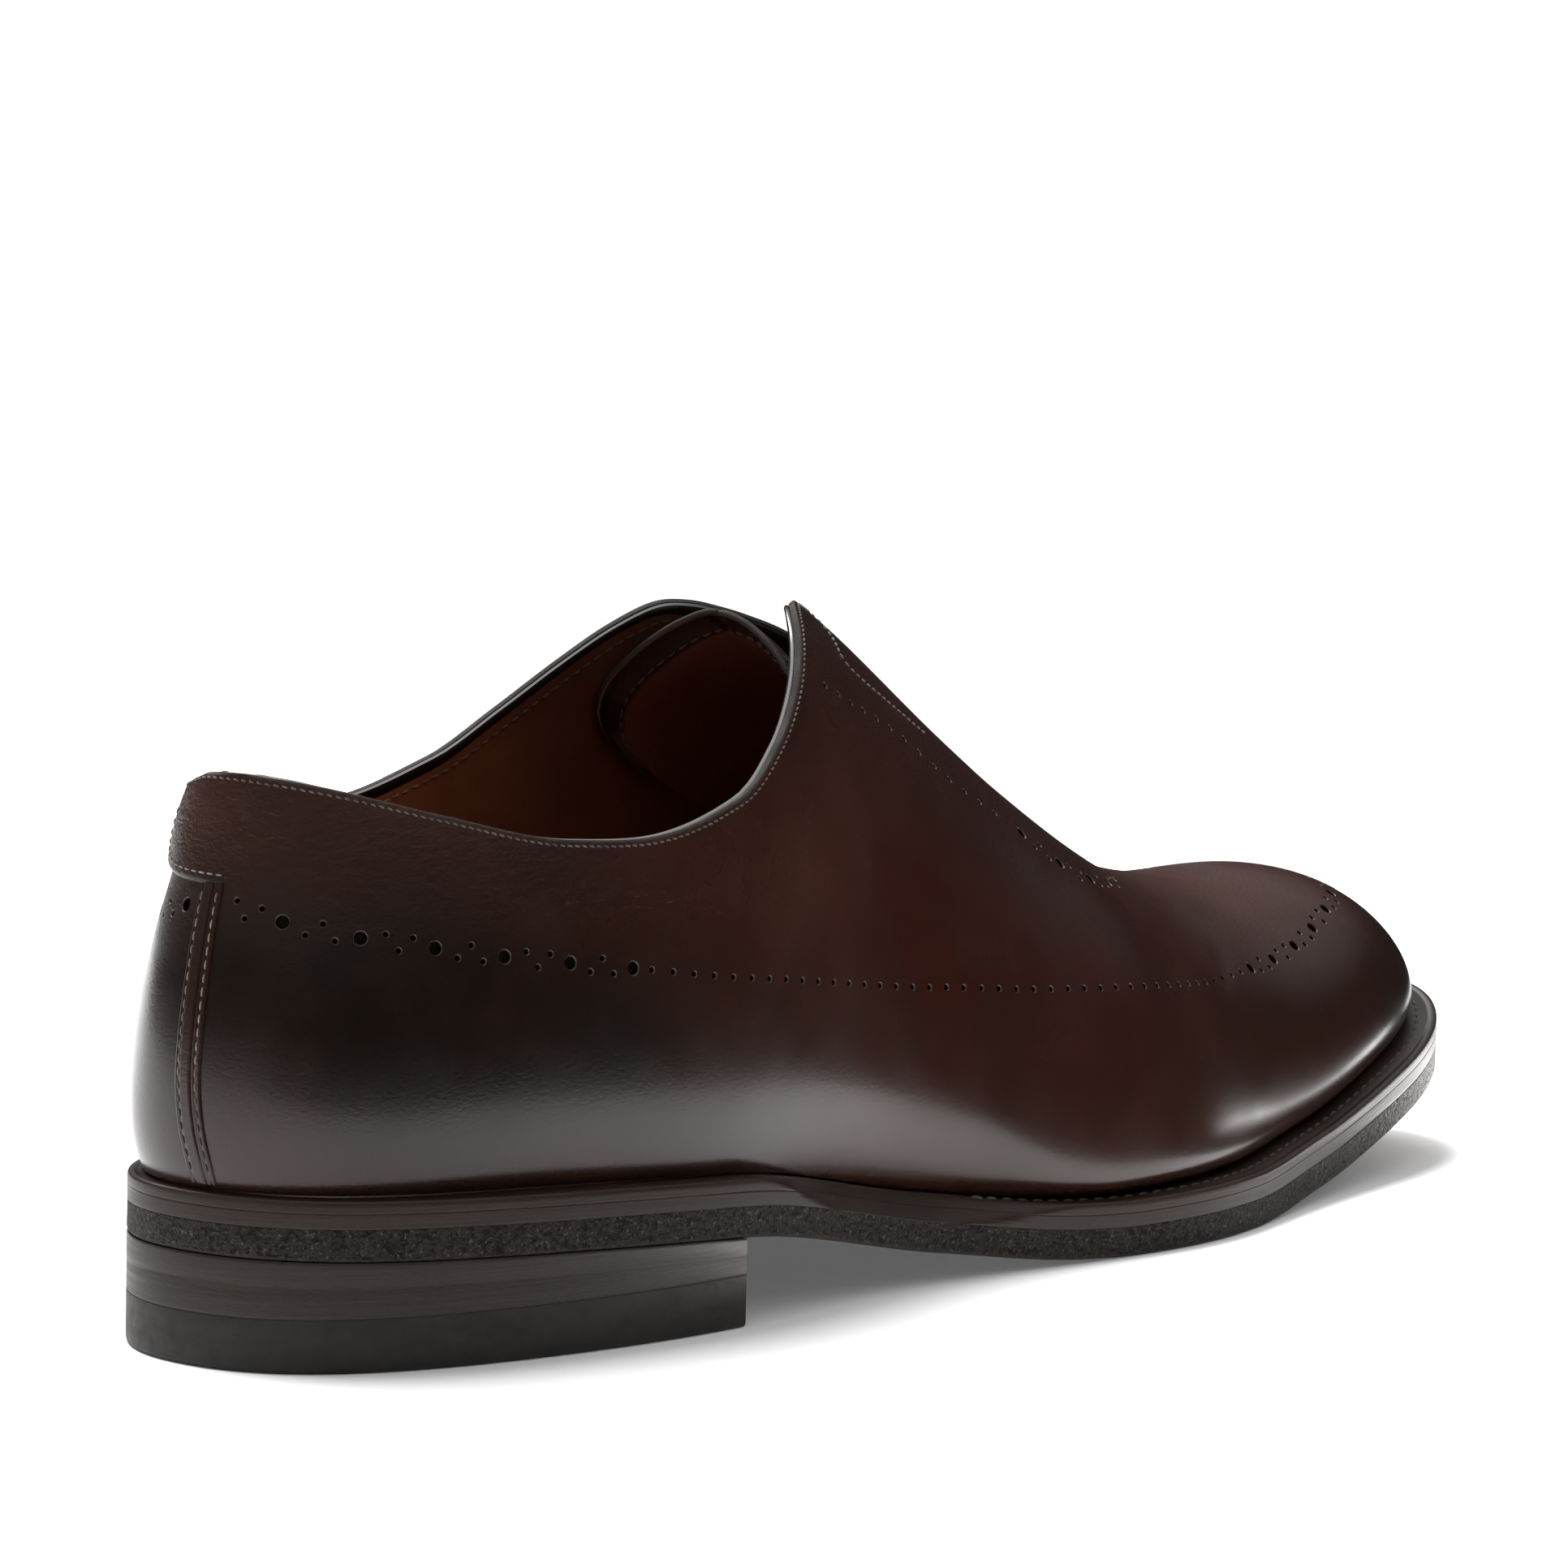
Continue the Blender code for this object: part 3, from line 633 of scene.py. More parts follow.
class Look(Nodes):
    """A material with a Principled shader."""

    def __init__(self, name, colour, roughness, **sockets):
        self.material = bpy.data.materials.new(name)
        self.material.use_nodes = True
        super().__init__(self.material.node_tree)
        self.shader = self.tree.nodes["Principled BSDF"]
        self.colour(colour)
        self.rough(roughness)
        for socket, value in sockets.items():
            self.feed(self.shader.inputs[socket.replace("_", " ")], value)
        self.place = self.add("ShaderNodeTexCoord").outputs["Object"]

    def stretched(self, size):
        """Object coordinates in units of a size in millimetres, or of three sizes along the axes."""
        sizes = size if isinstance(size, tuple) else (size,) * 3
        scale = tuple(1 / (part * MM) for part in sizes)
        return self.add("ShaderNodeVectorMath", self.place, scale, operation="MULTIPLY").outputs["Vector"]

    def noise_at(self, place, detail=3.0, rough=0.55, twist=0.0):
        """Noise between 0 and 1, with features of about one unit of the place."""
        node = self.add("ShaderNodeTexNoise", place)
        settings = {"Scale": 1.0, "Detail": detail, "Roughness": rough, "Distortion": twist}
        for socket, value in settings.items():
            node.inputs[socket].default_value = value
        return node.outputs[0]

    def noise(self, size, *settings):
        """Noise with features of about a size in millimetres, or of three sizes along the axes."""
        return self.noise_at(self.stretched(size), *settings)

    def number(self, name):
        """Number stored on the mesh points."""
        return self.add("ShaderNodeAttribute", attribute_name=name).outputs["Fac"]

    def math(self, operation, *values):
        return self.add("ShaderNodeMath", *values, operation=operation).outputs[0]

    def fit(self, value, low, high, to_low=0.0, to_high=1.0):
        """Value scaled from one range into another and held inside it."""
        return self.add("ShaderNodeMapRange", value, low, high, to_low, to_high).outputs[0]

    def mix(self, share, first, second):
        """Mix of two colours. The node keeps its colour sockets in places 6 and 7."""
        node = self.add("ShaderNodeMix", share, data_type="RGBA")
        self.feed(node.inputs[6], opaque(first))
        self.feed(node.inputs[7], opaque(second))
        return node.outputs[2]

    def colour(self, value):
        self.feed(self.shader.inputs["Base Color"], opaque(value))

    def rough(self, value):
        self.feed(self.shader.inputs["Roughness"], value)

    def relief(self, *layers):
        """Bump layers, each a height between 0 and 1, its depth in millimetres and its strength."""
        normal = None
        for height, depth, strength in layers:
            node = self.add("ShaderNodeBump")
            self.feed(node.inputs["Height"], height)
            self.feed(node.inputs["Distance"], depth * MM)
            self.feed(node.inputs["Strength"], strength)
            if normal is not None:
                self.feed(node.inputs["Normal"], normal)
            normal = node.outputs["Normal"]
        self.feed(self.shader.inputs["Normal"], normal)


INK = (0.0075, 0.0036, 0.0020)
BROWN = (0.032, 0.0103, 0.0062)
TAN_BROWN = (0.080, 0.028, 0.018)
OXBLOOD = (0.042, 0.0072, 0.0040)
# dark of polish on the outer threads, and painted shade on the lining thread
POLISH_AND_SHADE = (0.012, 0.009, 0.0075)


def polished_leather():
    """Burnished calf: dark patina with brown and red clouds, fine grain and fine wrinkles."""
    look = Look("burnished_calf", BROWN, 0.22, Coat_Roughness=0.16)
    shine = look.number("shine")
    look.feed(look.shader.inputs["Coat Weight"], look.math("MULTIPLY", shine, 0.25))
    look.feed(look.shader.inputs["Specular IOR Level"], look.fit(shine, 0.0, 1.0, 0.30, 0.45))
    tone = look.math("ADD", look.number("tone"), look.fit(look.noise(26.0, 4.0), 0.3, 0.7, -0.14, 0.14))
    tone = look.math("ADD", tone, look.fit(look.noise((7.0, 7.0, 3.5), 3.0), 0.3, 0.7, -0.03, 0.03))
    shade = look.mix(look.fit(tone, 0.0, 0.5), INK, BROWN)
    shade = look.mix(look.fit(tone, 0.5, 1.0), shade, TAN_BROWN)
    warm = look.math("MULTIPLY", look.number("warm"), look.fit(look.noise(17.0, 3.0), 0.38, 0.62, 0.15, 1.0))
    shade = look.mix(warm, shade, OXBLOOD)
    grain = look.noise((0.8, 0.8, 0.55), 3.0, 0.6)
    look.colour(look.mix(look.fit(grain, 0.5, 0.8, 0.0, 0.07), shade, INK))
    dull = look.fit(shine, 0.0, 1.0, 0.12, 0.0)
    look.rough(look.math("ADD", dull, look.fit(look.noise(12.0, 2.0), 0.3, 0.7, 0.21, 0.28)))
    wrinkle = look.number("wrinkle")
    look.relief(
        (grain, 0.10, look.fit(shine, 0.0, 1.0, 0.8, 0.12)),
        (look.noise((11.0, 11.0, 1.5), 3.0, 0.55, 0.9), 0.40, look.math("MULTIPLY", wrinkle, 0.4)),
        (look.noise((2.0, 2.0, 1.1), 3.0, 0.6, 0.5), 0.45, look.fit(wrinkle, 0.0, 1.0, 0.02, 0.9)),
    )
    return look.material


def plain_leather(name, dark, light, roughness, grain, coat=0.0, depth=0.06, gleam=0.5, **sockets):
    """Leather of one colour with soft clouds and a fine grain of a size in millimetres."""
    sockets |= {"Coat_Weight": coat, "Coat_Roughness": 0.12, "Specular_IOR_Level": gleam}
    look = Look(name, dark, roughness, **sockets)
    clouds = look.fit(look.noise(14.0, 5.0, 0.6), 0.3, 0.7)
    pores = look.noise(grain, 4.0, 0.6)
    look.colour(look.mix(look.fit(pores, 0.45, 0.75, 0.0, 0.5), look.mix(clouds, dark, light), dark))
    look.rough(look.fit(look.noise(5.0), 0.3, 0.7, roughness - 0.06, roughness + 0.1))
    look.relief((pores, depth, 0.5), (look.noise(1.6, 5.0, 0.7), 0.1, 0.3))
    return look


def burnished_edge(name, dark, light, roughness, lines):
    """Cut leather edge, waxed and burnished: faint lines run along the layer."""
    look = Look(name, dark, roughness, Coat_Weight=0.04, Coat_Roughness=0.3, Specular_IOR_Level=0.26)
    level = look.math("MULTIPLY", look.number("level"), 1 / lines)
    place = look.add("ShaderNodeSeparateXYZ", look.stretched(30.0))
    joined = look.add("ShaderNodeCombineXYZ", place.outputs[0], place.outputs[1], level).outputs[0]
    streaks = look.noise_at(joined, 5.0, 0.5)
    clouds = look.fit(look.noise(11.0, 4.0), 0.3, 0.7)
    fibres = look.noise((1.6, 1.6, 0.35), 4.0, 0.65)
    shade = look.mix(look.fit(streaks, 0.35, 0.65), dark, light)
    shade = look.mix(look.math("MULTIPLY", clouds, 0.45), shade, dark)
    look.colour(look.mix(look.fit(fibres, 0.52, 0.75, 0.0, 0.5), shade, tuple(0.4 * part for part in dark)))
    look.rough(look.fit(streaks, 0.3, 0.7, roughness - 0.05, roughness + 0.12))
    look.relief((streaks, 0.1, 0.4), (fibres, 0.08, 0.45))
    return look.material


def pebbled_rubber():
    """Cellular rubber: small dark pits and pale crumbs, closing to a smooth line along its lower edge."""
    look = Look("pebbled_rubber", (0.026, 0.023, 0.021), 0.6, Specular_IOR_Level=0.22)
    open_part = look.fit(look.number("level"), 0.25, 0.8)
    crumbs = look.noise((0.85, 0.85, 0.6), 4.0, 0.65)
    pits = look.fit(look.noise((1.1, 1.1, 0.7), 3.0, 0.6), 0.36, 0.47, 1.0, 0.0)
    pits = look.math("MULTIPLY", pits, open_part)
    specks = look.math("MULTIPLY", look.fit(look.noise(0.6, 3.0), 0.56, 0.68), open_part)
    shade = look.mix(look.fit(crumbs, 0.35, 0.65), (0.0135, 0.0105, 0.0088), (0.043, 0.0345, 0.0295))
    shade = look.mix(look.math("MULTIPLY", specks, 0.7), shade, (0.19, 0.16, 0.14))
    look.colour(look.mix(look.math("MULTIPLY", pits, 0.9), shade, (0.0035, 0.003, 0.0028)))
    look.rough(look.fit(crumbs, 0.3, 0.7, 0.5, 0.72))
    dents = look.math("SUBTRACT", look.math("ADD", crumbs, look.math("MULTIPLY", specks, 0.3)), pits)
    look.relief((dents, 1.2, look.fit(open_part, 0.0, 1.0, 0.15, 1.0)))
    return look.material


def smooth_rubber():
    """Moulded heel rubber, worn a little along its edge."""
    look = Look("lift_rubber", (0.017, 0.0145, 0.0125), 0.5, Specular_IOR_Level=0.28)
    clouds = look.fit(look.noise((9.0, 9.0, 4.0), 5.0, 0.6), 0.3, 0.7)
    look.colour(look.mix(clouds, (0.013, 0.0105, 0.0088), (0.023, 0.0195, 0.0165)))
    look.rough(look.fit(look.noise(2.0, 4.0), 0.3, 0.7, 0.46, 0.6))
    look.relief((look.noise(0.5, 4.0, 0.7), 0.05, 0.5), (look.noise((30.0, 30.0, 0.6), 3.0), 0.05, 0.3))
    return look.material


def thread(name, colour, shade=0.45, fades=False):
    """Waxed sewing thread with a twist. One that fades is dark where its fade is low: with polish outside,
    with painted shade on the lining.
    """
    look = Look(name, colour, 0.5, Sheen_Weight=0.2)
    twist = look.noise(0.35, 2.0)
    strands = look.mix(look.fit(twist, 0.3, 0.7), tuple(shade * part for part in colour), colour)
    if fades:
        patches = look.fit(look.noise(5.0, 2.0), 0.35, 0.6, 0.35, 1.0)
        strands = look.mix(look.math("MULTIPLY", look.number("fade"), patches), POLISH_AND_SHADE, strands)
    look.colour(strands)
    look.relief((twist, 0.06, 0.7))
    return look.material


def shaded_lining():
    """Cognac lining with painted shade: its colour darkens towards the front, where little light reaches."""
    look = plain_leather("cognac_lining", (0.240, 0.070, 0.024), (0.400, 0.140, 0.055), 0.5, 0.7)
    bright = look.shader.inputs["Base Color"].links[0].from_socket
    # painted shade: the lining's colour turns dark as the stored depth grows towards the front
    look.colour(look.mix(look.math("MULTIPLY", look.number("deep"), 0.75), bright, (0.040, 0.011, 0.006)))
    return look.material


leather = polished_leather()
lining = shaded_lining()
binding = plain_leather(
    "dark_binding", (0.0050, 0.0034, 0.0027), (0.010, 0.0066, 0.0052), 0.25, 0.7, 1.0, 0.03, 0.9
).material
bead = plain_leather(
    "glossy_bead", (0.006, 0.004, 0.0032), (0.012, 0.008, 0.0063), 0.25, 0.7, 1.0, 0.02, 0.9, Coat_IOR=2.4
).material
cut_edge = plain_leather(
    "cut_edge", (0.012, 0.008, 0.006), (0.046, 0.032, 0.025), 0.6, 0.4, 0.0, 0.3, 0.2
).material
# painted shade: the deep walls and floor of each punched hole are coloured near black, standing in for the
# shade inside it
painted_pit_shade = plain_leather(
    "punched_hole_painted_shade", (0.0045, 0.0026, 0.0018), (0.008, 0.0047, 0.0034), 0.6, 0.5, gleam=0.1
).material
raw_wall = plain_leather(
    "raw_hole_wall", (0.030, 0.018, 0.0125), (0.080, 0.052, 0.038), 0.4, 0.4
).material
welt_edge = burnished_edge("welt_edge", (0.018, 0.0085, 0.0058), (0.034, 0.019, 0.013), 0.36, 0.5)
midsole_edge = burnished_edge("midsole_edge", (0.017, 0.0095, 0.0070), (0.034, 0.021, 0.0155), 0.38, 0.5)
stack_edge = burnished_edge("stack_edge", (0.021, 0.0142, 0.0112), (0.037, 0.0265, 0.0215), 0.40, 0.7)
rubber = pebbled_rubber()
lift_rubber = smooth_rubber()
dark_thread = thread("dark_thread", (0.060, 0.045, 0.037))
pale_thread = thread("pale_thread", (0.34, 0.27, 0.21))
collar_thread = thread("collar_thread", (0.34, 0.27, 0.21), 0.5, True)
heel_thread = thread("heel_thread", (0.40, 0.32, 0.24), 0.5, True)
tan_thread = thread("tan_thread", (0.26, 0.135, 0.065), 0.5, True)
welt_thread = thread("welt_thread", (0.015, 0.010, 0.0075))


# Patina of the upper: clouds of tone and of red, and where the leather is finely wrinkled
BASE_TONE = 0.46
CLOUDS = (
    # distance from the heel back, height, reach along, reach up, change of tone, of warmth, of wrinkles
    (32.0, 47.0, 62.0, 22.0, -0.50, 0.0, 0.0),
    (12.0, 58.0, 26.0, 16.0, -0.16, 0.0, 0.0),
    (36.0, 77.0, 38.0, 11.0, 0.06, 0.0, 0.55),
    (60.0, 64.0, 30.0, 5.0, 0.04, 0.1, 0.4),
    (5.0, 80.0, 16.0, 10.0, 0.10, 0.0, 0.05),
    (90.0, 62.0, 38.0, 21.0, 0.36, 0.22, 0.0),
    (128.0, 82.0, 34.0, 16.0, 0.16, 0.0, 0.0),
    (125.0, 40.0, 30.0, 18.0, -0.06, 0.25, 0.0),
    (140.0, 62.0, 32.0, 24.0, 0.0, 0.75, 0.0),
    (180.0, 45.0, 30.0, 14.0, 0.02, 0.60, 0.0),
    (210.0, 50.0, 36.0, 14.0, 0.0, 0.60, 0.0),
    (247.0, 47.0, 34.0, 10.0, 0.36, 0.36, 0.0),
    (292.0, 32.0, 18.0, 18.0, -0.24, -0.1, 0.0),
    (140.0, 92.0, 40.0, 6.0, -0.05, 0.1, 0.0),
)
DULL_PATCHES = (
    # strength, distance from the heel back, reach, heights between which it grows, share below them
    (1.0, 10.0, 62.0, 54.0, 68.0, 0.25),
    (0.95, 238.0, 46.0, 34.0, 44.0, 0.0),
)
# distances from the heel back between which painted shade darkens the lining
LINING_SHADE = (45.0, 112.0)


def paint(piece, darker=1.0, **own):
    """Stores tone, warmth, wrinkles, shine and the lining's painted shade on a piece of the upper, some of
    them as its own numbers.
    """
    x, _, z = design_points(piece).T
    sums = np.zeros((3, len(x)))
    for at_x, at_z, reach_x, reach_z, *changes in CLOUDS:
        near = np.exp(-(((x - at_x) / reach_x) ** 2) - ((z - at_z) / reach_z) ** 2)
        sums += near * np.array(changes)[:, None]
    sums[0] += BASE_TONE
    numbers = dict(zip(("tone", "warm", "wrinkle"), np.clip(sums, 0, 1)))
    numbers["tone"] = numbers["tone"] * darker
    dull = np.zeros(len(x))
    for strength, at_x, reach, low, high, below in DULL_PATCHES:
        near = strength * np.exp(-(((x - at_x) / reach) ** 2))
        dull += near * (below + (1 - below) * smooth_step(low, high, z))
    numbers["shine"] = np.clip(1 - dull, 0, 1)
    # painted shade of the lining, growing towards the front
    numbers["deep"] = smooth_step(*LINING_SHADE, x)
    for name, values in (numbers | own).items():
        store(piece, name, values * np.ones(len(x)))


# Upper: one skin that runs from the welt up the outside, over the edge and down the lining
UPPER_MATERIALS = (leather, cut_edge, bead, binding, lining, painted_pit_shade, raw_wall)
LEATHER_SLOT, PIT_SLOT, WALL_SLOT = 0, 5, 6
ROW_COUNTS = (28, 44, 84, 56, 64, 44)
HEEL_ROUND_END = 0.35
TOE_ROUND_START = 2.55
OUTER_STEPS = 64
INNER_STEPS = 22
ROW_CROWDING = 0.6
BEAD = 0.68
OUTER_BEAD = 4
FACING = 1.3
FACING_STEPS = 4
FULL_WALL_HEIGHT = 15.0
THINNEST_WALL = 0.1
CREASE_STEPS = 25
CREASE_FADE = 0.6
EDGE_PROFILE = (
    # depth below the outside, height over the end of the outside
    (0.08, 0.24), (0.26, 0.40), (1.04, 0.46), (1.20, 0.06), (1.34, 0.46), (1.62, 0.76),
    (1.98, 0.56),
)
CREASES = (
    # sweep angle and rise at both ends, half width and depth of a trough in millimetres
    (-2.060, 0.540, -1.955, 0.350, 1.3, 0.20),
    (-2.078, 0.532, -1.985, 0.372, 0.9, 0.14),
    (-2.036, 0.510, -1.948, 0.372, 0.9, 0.12),
    (-0.420, 0.690, -0.760, 0.655, 0.9, 0.12),
    (-0.500, 0.655, -0.930, 0.615, 1.0, 0.14),
    (-0.640, 0.625, -1.000, 0.590, 0.8, 0.10),
    (-0.350, 0.650, -0.560, 0.628, 0.8, 0.10),
    (-0.820, 0.650, -1.060, 0.612, 0.8, 0.10),
)


def half_angles():
    """Sweep angles of the upper's rows on one side, closest at the throat and the ears."""
    seams = [float(upper.angle_at(x)) for x in (THROAT_BACK, EAR_FRONT, SLIT_END)]
    marks = [0.0, HEEL_ROUND_END, *seams, TOE_ROUND_START, TIP_ANGLE]
    parts = []
    for start, stop, count in zip(marks, marks[1:], ROW_COUNTS):
        parts.append(np.linspace(start, stop, count, endpoint=False))
    return np.concatenate(parts + [[TIP_ANGLE]])


def crease_depth(points):
    """Depth of the listed creases at points on the outside of the upper."""
    depth = np.zeros(points.shape[:-1])
    steps = np.linspace(0, 1, CREASE_STEPS)
    fade = np.sin(steps * math.pi) ** CREASE_FADE
    for angle_a, rise_a, angle_b, rise_b, width, deep in CREASES:
        line = surface(angle_a + (angle_b - angle_a) * steps, rise_a + (rise_b - rise_a) * steps)
        for start, stop, first, last in zip(line[:-1], line[1:], fade[:-1], fade[1:]):
            run = stop - start
            share = np.clip((points - start) @ run / (run @ run), 0, 1)
            away = np.linalg.norm(points - start - share[..., None] * run, axis=-1)
            here = deep * (first + (last - first) * share) * np.exp(-((away / width) ** 2))
            depth = np.maximum(depth, here)
    return depth


def build_upper():
    half = half_angles()
    signed = np.concatenate([-half[::-1], half[1:]])
    top = signed_top(signed)
    is_open = top < 1
    stretch = np.linalg.norm(upward(signed, np.minimum(top, 1 - NUDGE)), axis=-1)
    end = np.where(is_open, top - BEAD / stretch, 1.0)
    steps = np.linspace(0, 1, OUTER_STEPS)
    rises = end[:, None] * (steps * (1 - ROW_CROWDING + ROW_CROWDING * steps))[None, :]
    grid_angles = np.repeat(signed[:, None], OUTER_STEPS, axis=1)
    normals = outward(grid_angles, rises)
    outside = surface(grid_angles, rises)
    outside = outside - normals * crease_depth(outside)[..., None]
    wall = WALL * np.clip(ridge_height(np.abs(signed)) / FULL_WALL_HEIGHT, THINNEST_WALL, 1)
    up = unit(upward(signed, np.minimum(end, 1 - NUDGE)))
    ridge_normal = outward(signed, np.ones(len(signed)))
    ridge_normal = unit(ridge_normal + ridge_normal[::-1])
    last_normal = np.where(is_open[:, None], normals[:, -1], ridge_normal)
    last = outside[:, -1]
    rim = []
    for depth, height in EDGE_PROFILE:
        lifted = np.where(is_open, height, 0.0)
        rim.append(last - last_normal * (depth / WALL * wall)[:, None] + up * lifted[:, None])
    rim = np.stack(rim, axis=1)
    facing = np.minimum(FACING / stretch, end / 3)
    inner = np.concatenate(
        [
            end[:, None] - facing[:, None] * np.linspace(0, 1, FACING_STEPS)[None, :],
            (end - facing)[:, None] * np.linspace(1, 0, INNER_STEPS)[None, 1:],
        ],
        axis=1,
    )
    inner_angles = np.repeat(signed[:, None], inner.shape[1], axis=1)
    inner_normals = outward(inner_angles, inner)
    inner_normals[:, 0] = last_normal
    inside = surface(inner_angles, inner) - inner_normals * wall[:, None, None]
    skin = np.concatenate([outside, rim, inside], axis=1)
    rows, cols = skin.shape[:2]
    faces = []
    slots = []
    first_rim = OUTER_STEPS - 1
    first_inside = first_rim + len(EDGE_PROFILE) + 1
    ends = (first_rim + 1, first_rim + OUTER_BEAD, first_inside - 1, first_inside + FACING_STEPS - 1)
    for number, quad in enumerate(grid_faces(rows, cols, wrap_rows=True, wrap_cols=True)):
        r, c = divmod(number, cols)
        if not first_rim <= c < first_inside or is_open[r] or is_open[(r + 1) % rows]:
            faces.append(quad)
            slots.append(sum(c >= stop for stop in ends))
    return new_piece("upper_skin", skin.reshape(-1, 3), faces, UPPER_MATERIALS, slots, sharp_degrees=50)


# Broguing: blind holes punched along two lines on each side
LARGE = 0.98
SMALL = 0.42
ACROSS = 1.05
HOLE_SIDES = 18
HOLE_PROFILE = (
    # added radius in millimetres, height over the leather
    (0.50, 0.30), (0.14, -0.03), (0.02, -0.16), (-0.02, -0.50), (-0.05, -0.95),
)
# the lower walls and floor of each hole take the pit's painted shade
HOLE_SLOTS = (LEATHER_SLOT, WALL_SLOT, PIT_SLOT, PIT_SLOT)
LINE_A = (
    # sweep angle, rise along the sole, from the back seam to the toe
    (0.000, 0.336), (0.203, 0.318), (0.393, 0.300), (0.548, 0.282), (0.675, 0.262), (0.888, 0.226),
    (1.086, 0.200), (1.343, 0.218), (1.612, 0.288), (1.859, 0.386), (2.049, 0.448), (2.189, 0.484),
    (2.345, 0.542), (2.433, 0.598), (2.537, 0.718), (2.552, 0.840), (2.556, 1.000),
)
LINE_B = (
    # sweep angle, rise beside the throat and over the vamp
    (1.291, 0.592), (1.349, 0.592), (1.458, 0.596), (1.525, 0.580), (1.658, 0.580), (1.754, 0.572),
    (1.819, 0.618), (1.909, 0.720), (1.938, 0.860), (1.942, 1.000),
)
PATH_STEP = 0.25
REAR_PITCH = 11.45
REAR_LARGES = 6
FRONT_PITCH = 9.7
SINGLE_PITCH = 4.2
FIRST_SINGLE = 0.2
AFTER_LARGE = 3.6
BEFORE_LARGE = 3.0
SMALL_SHARES = (0.32, 0.505, 0.69)
MEDIAL_SHIFT = -5.0
# sweep angles of the first large hole before the toe and on the vamp
TOE_LARGE = 2.107
VAMP_LARGE = 1.659
# a direction that no hole's axis has
ASKEW = (0.3, 0.5, 0.8)
HOLE_SHARP_DEGREES = 32


def cluster(first, count, pitch, above):
    """Arc place, offset and radius of large holes a pitch apart, with three small ones before each."""
    found = []
    for large in first + np.arange(count) * pitch:
        found.append((large, 0.0, LARGE))
        for share, turn in zip(SMALL_SHARES, (1, -1, 1)):
            found.append((large - pitch + share * pitch, above * turn * ACROSS, SMALL))
        above = -above
    return found


def singles(first, last):
    return [(place, 0.0, SMALL) for place in np.arange(first, last, SINGLE_PITCH)]


def front_part(start, end):
    """A first large hole, and clusters after it."""
    count = int((end - start) / FRONT_PITCH) + 1
    return [(start, 0.0, LARGE)] + cluster(start + FRONT_PITCH, count, FRONT_PITCH, -1)


def line_a_marks(shift):
    """Clusters round the heel, single holes along the waist and clusters round the toe."""

    def marks(angles, run):
        toe = float(np.interp(TOE_LARGE, angles, run))
        heel_end = REAR_PITCH * REAR_LARGES + shift
        rear = cluster(REAR_PITCH + shift, REAR_LARGES, REAR_PITCH, 1)
        return rear + singles(heel_end + AFTER_LARGE, toe - BEFORE_LARGE) + front_part(toe, run[-1])

    return marks


def line_b_marks(angles, run):
    """Single holes along the side of the throat, then clusters over the vamp."""
    vamp = float(np.interp(VAMP_LARGE, angles, run))
    return singles(FIRST_SINGLE, vamp - BEFORE_LARGE) + front_part(vamp, run[-1])


def brogue_path(table):
    """Sweep angles and rises along a line of broguing, in even small steps of its lateral length."""
    angles, rises = columns(table)
    run = arc_lengths(surface(-angles, rises))
    steps = np.arange(0, run[-1], PATH_STEP)
    return natural_spline(run, angles)(steps), np.minimum(natural_spline(run, rises)(steps), 1.0)


def brogue_holes(table, side, marks_of):
    """Place, axis and radius of each hole along a line of broguing on one side."""
    angles, rises = brogue_path(table)
    path = surface(side * angles, rises)
    normals = outward(side * angles, rises)
    run = arc_lengths(path)
    found = []
    for along, across, radius in marks_of(angles, run):
        if not 0 < along < run[-1]:
            continue
        place = np.array([np.interp(along, run, np.arange(len(run)))])
        normal = unit(at(normals, place))[0]
        beside = unit(np.cross(normal, at(np.gradient(path, axis=0), place)[0]))
        found.append((at(path, place)[0] - beside * across * side, normal, radius))
    return found


def hole_cutter(holes):
    """One mesh of all the punches."""
    points = []
    faces = []
    slots = []
    for middle, axis, radius in holes:
        beside = unit(np.cross(axis, ASKEW))
        other = np.cross(axis, beside)
        start = len(points)
        for wider, height in HOLE_PROFILE:
            centre = middle + axis * height
            for turn in circle(HOLE_SIDES):
                reach = beside * math.cos(turn) + other * math.sin(turn)
                points.append(centre + (radius + wider) * reach)
        faces += grid_faces(len(HOLE_PROFILE), HOLE_SIDES, start, wrap_cols=True)
        slots += [slot for slot in HOLE_SLOTS for _ in range(HOLE_SIDES)]
        for first in (start, len(points) - HOLE_SIDES):
            faces.append(tuple(range(first, first + HOLE_SIDES)))
            slots.append(PIT_SLOT)
    return new_piece("punches", points, faces, UPPER_MATERIALS, slots)


def punch(piece, holes):
    """Cuts the holes into a piece."""
    cutter = hole_cutter(holes)
    cut = piece.modifiers.new("punch", "BOOLEAN")
    cut.operation = "DIFFERENCE"
    cut.solver = "EXACT"
    cut.material_mode = "TRANSFER"
    cut.object = cutter
    graph = bpy.context.evaluated_depsgraph_get()
    mesh = bpy.data.meshes.new_from_object(piece.evaluated_get(graph))
    piece.modifiers.clear()
    mesh.set_sharp_from_angle(angle=math.radians(HOLE_SHARP_DEGREES))
    piece.data = mesh
    bpy.data.objects.remove(cutter)


upper_skin = build_upper()
holes = []
for side, shift in ((LATERAL, 0.0), (MEDIAL, MEDIAL_SHIFT)):
    holes += brogue_holes(LINE_A, side, line_a_marks(shift))
    holes += brogue_holes(LINE_B, side, line_b_marks)
punch(upper_skin, holes)
paint(upper_skin)
dress(upper_skin, "upper_leather", "upper")


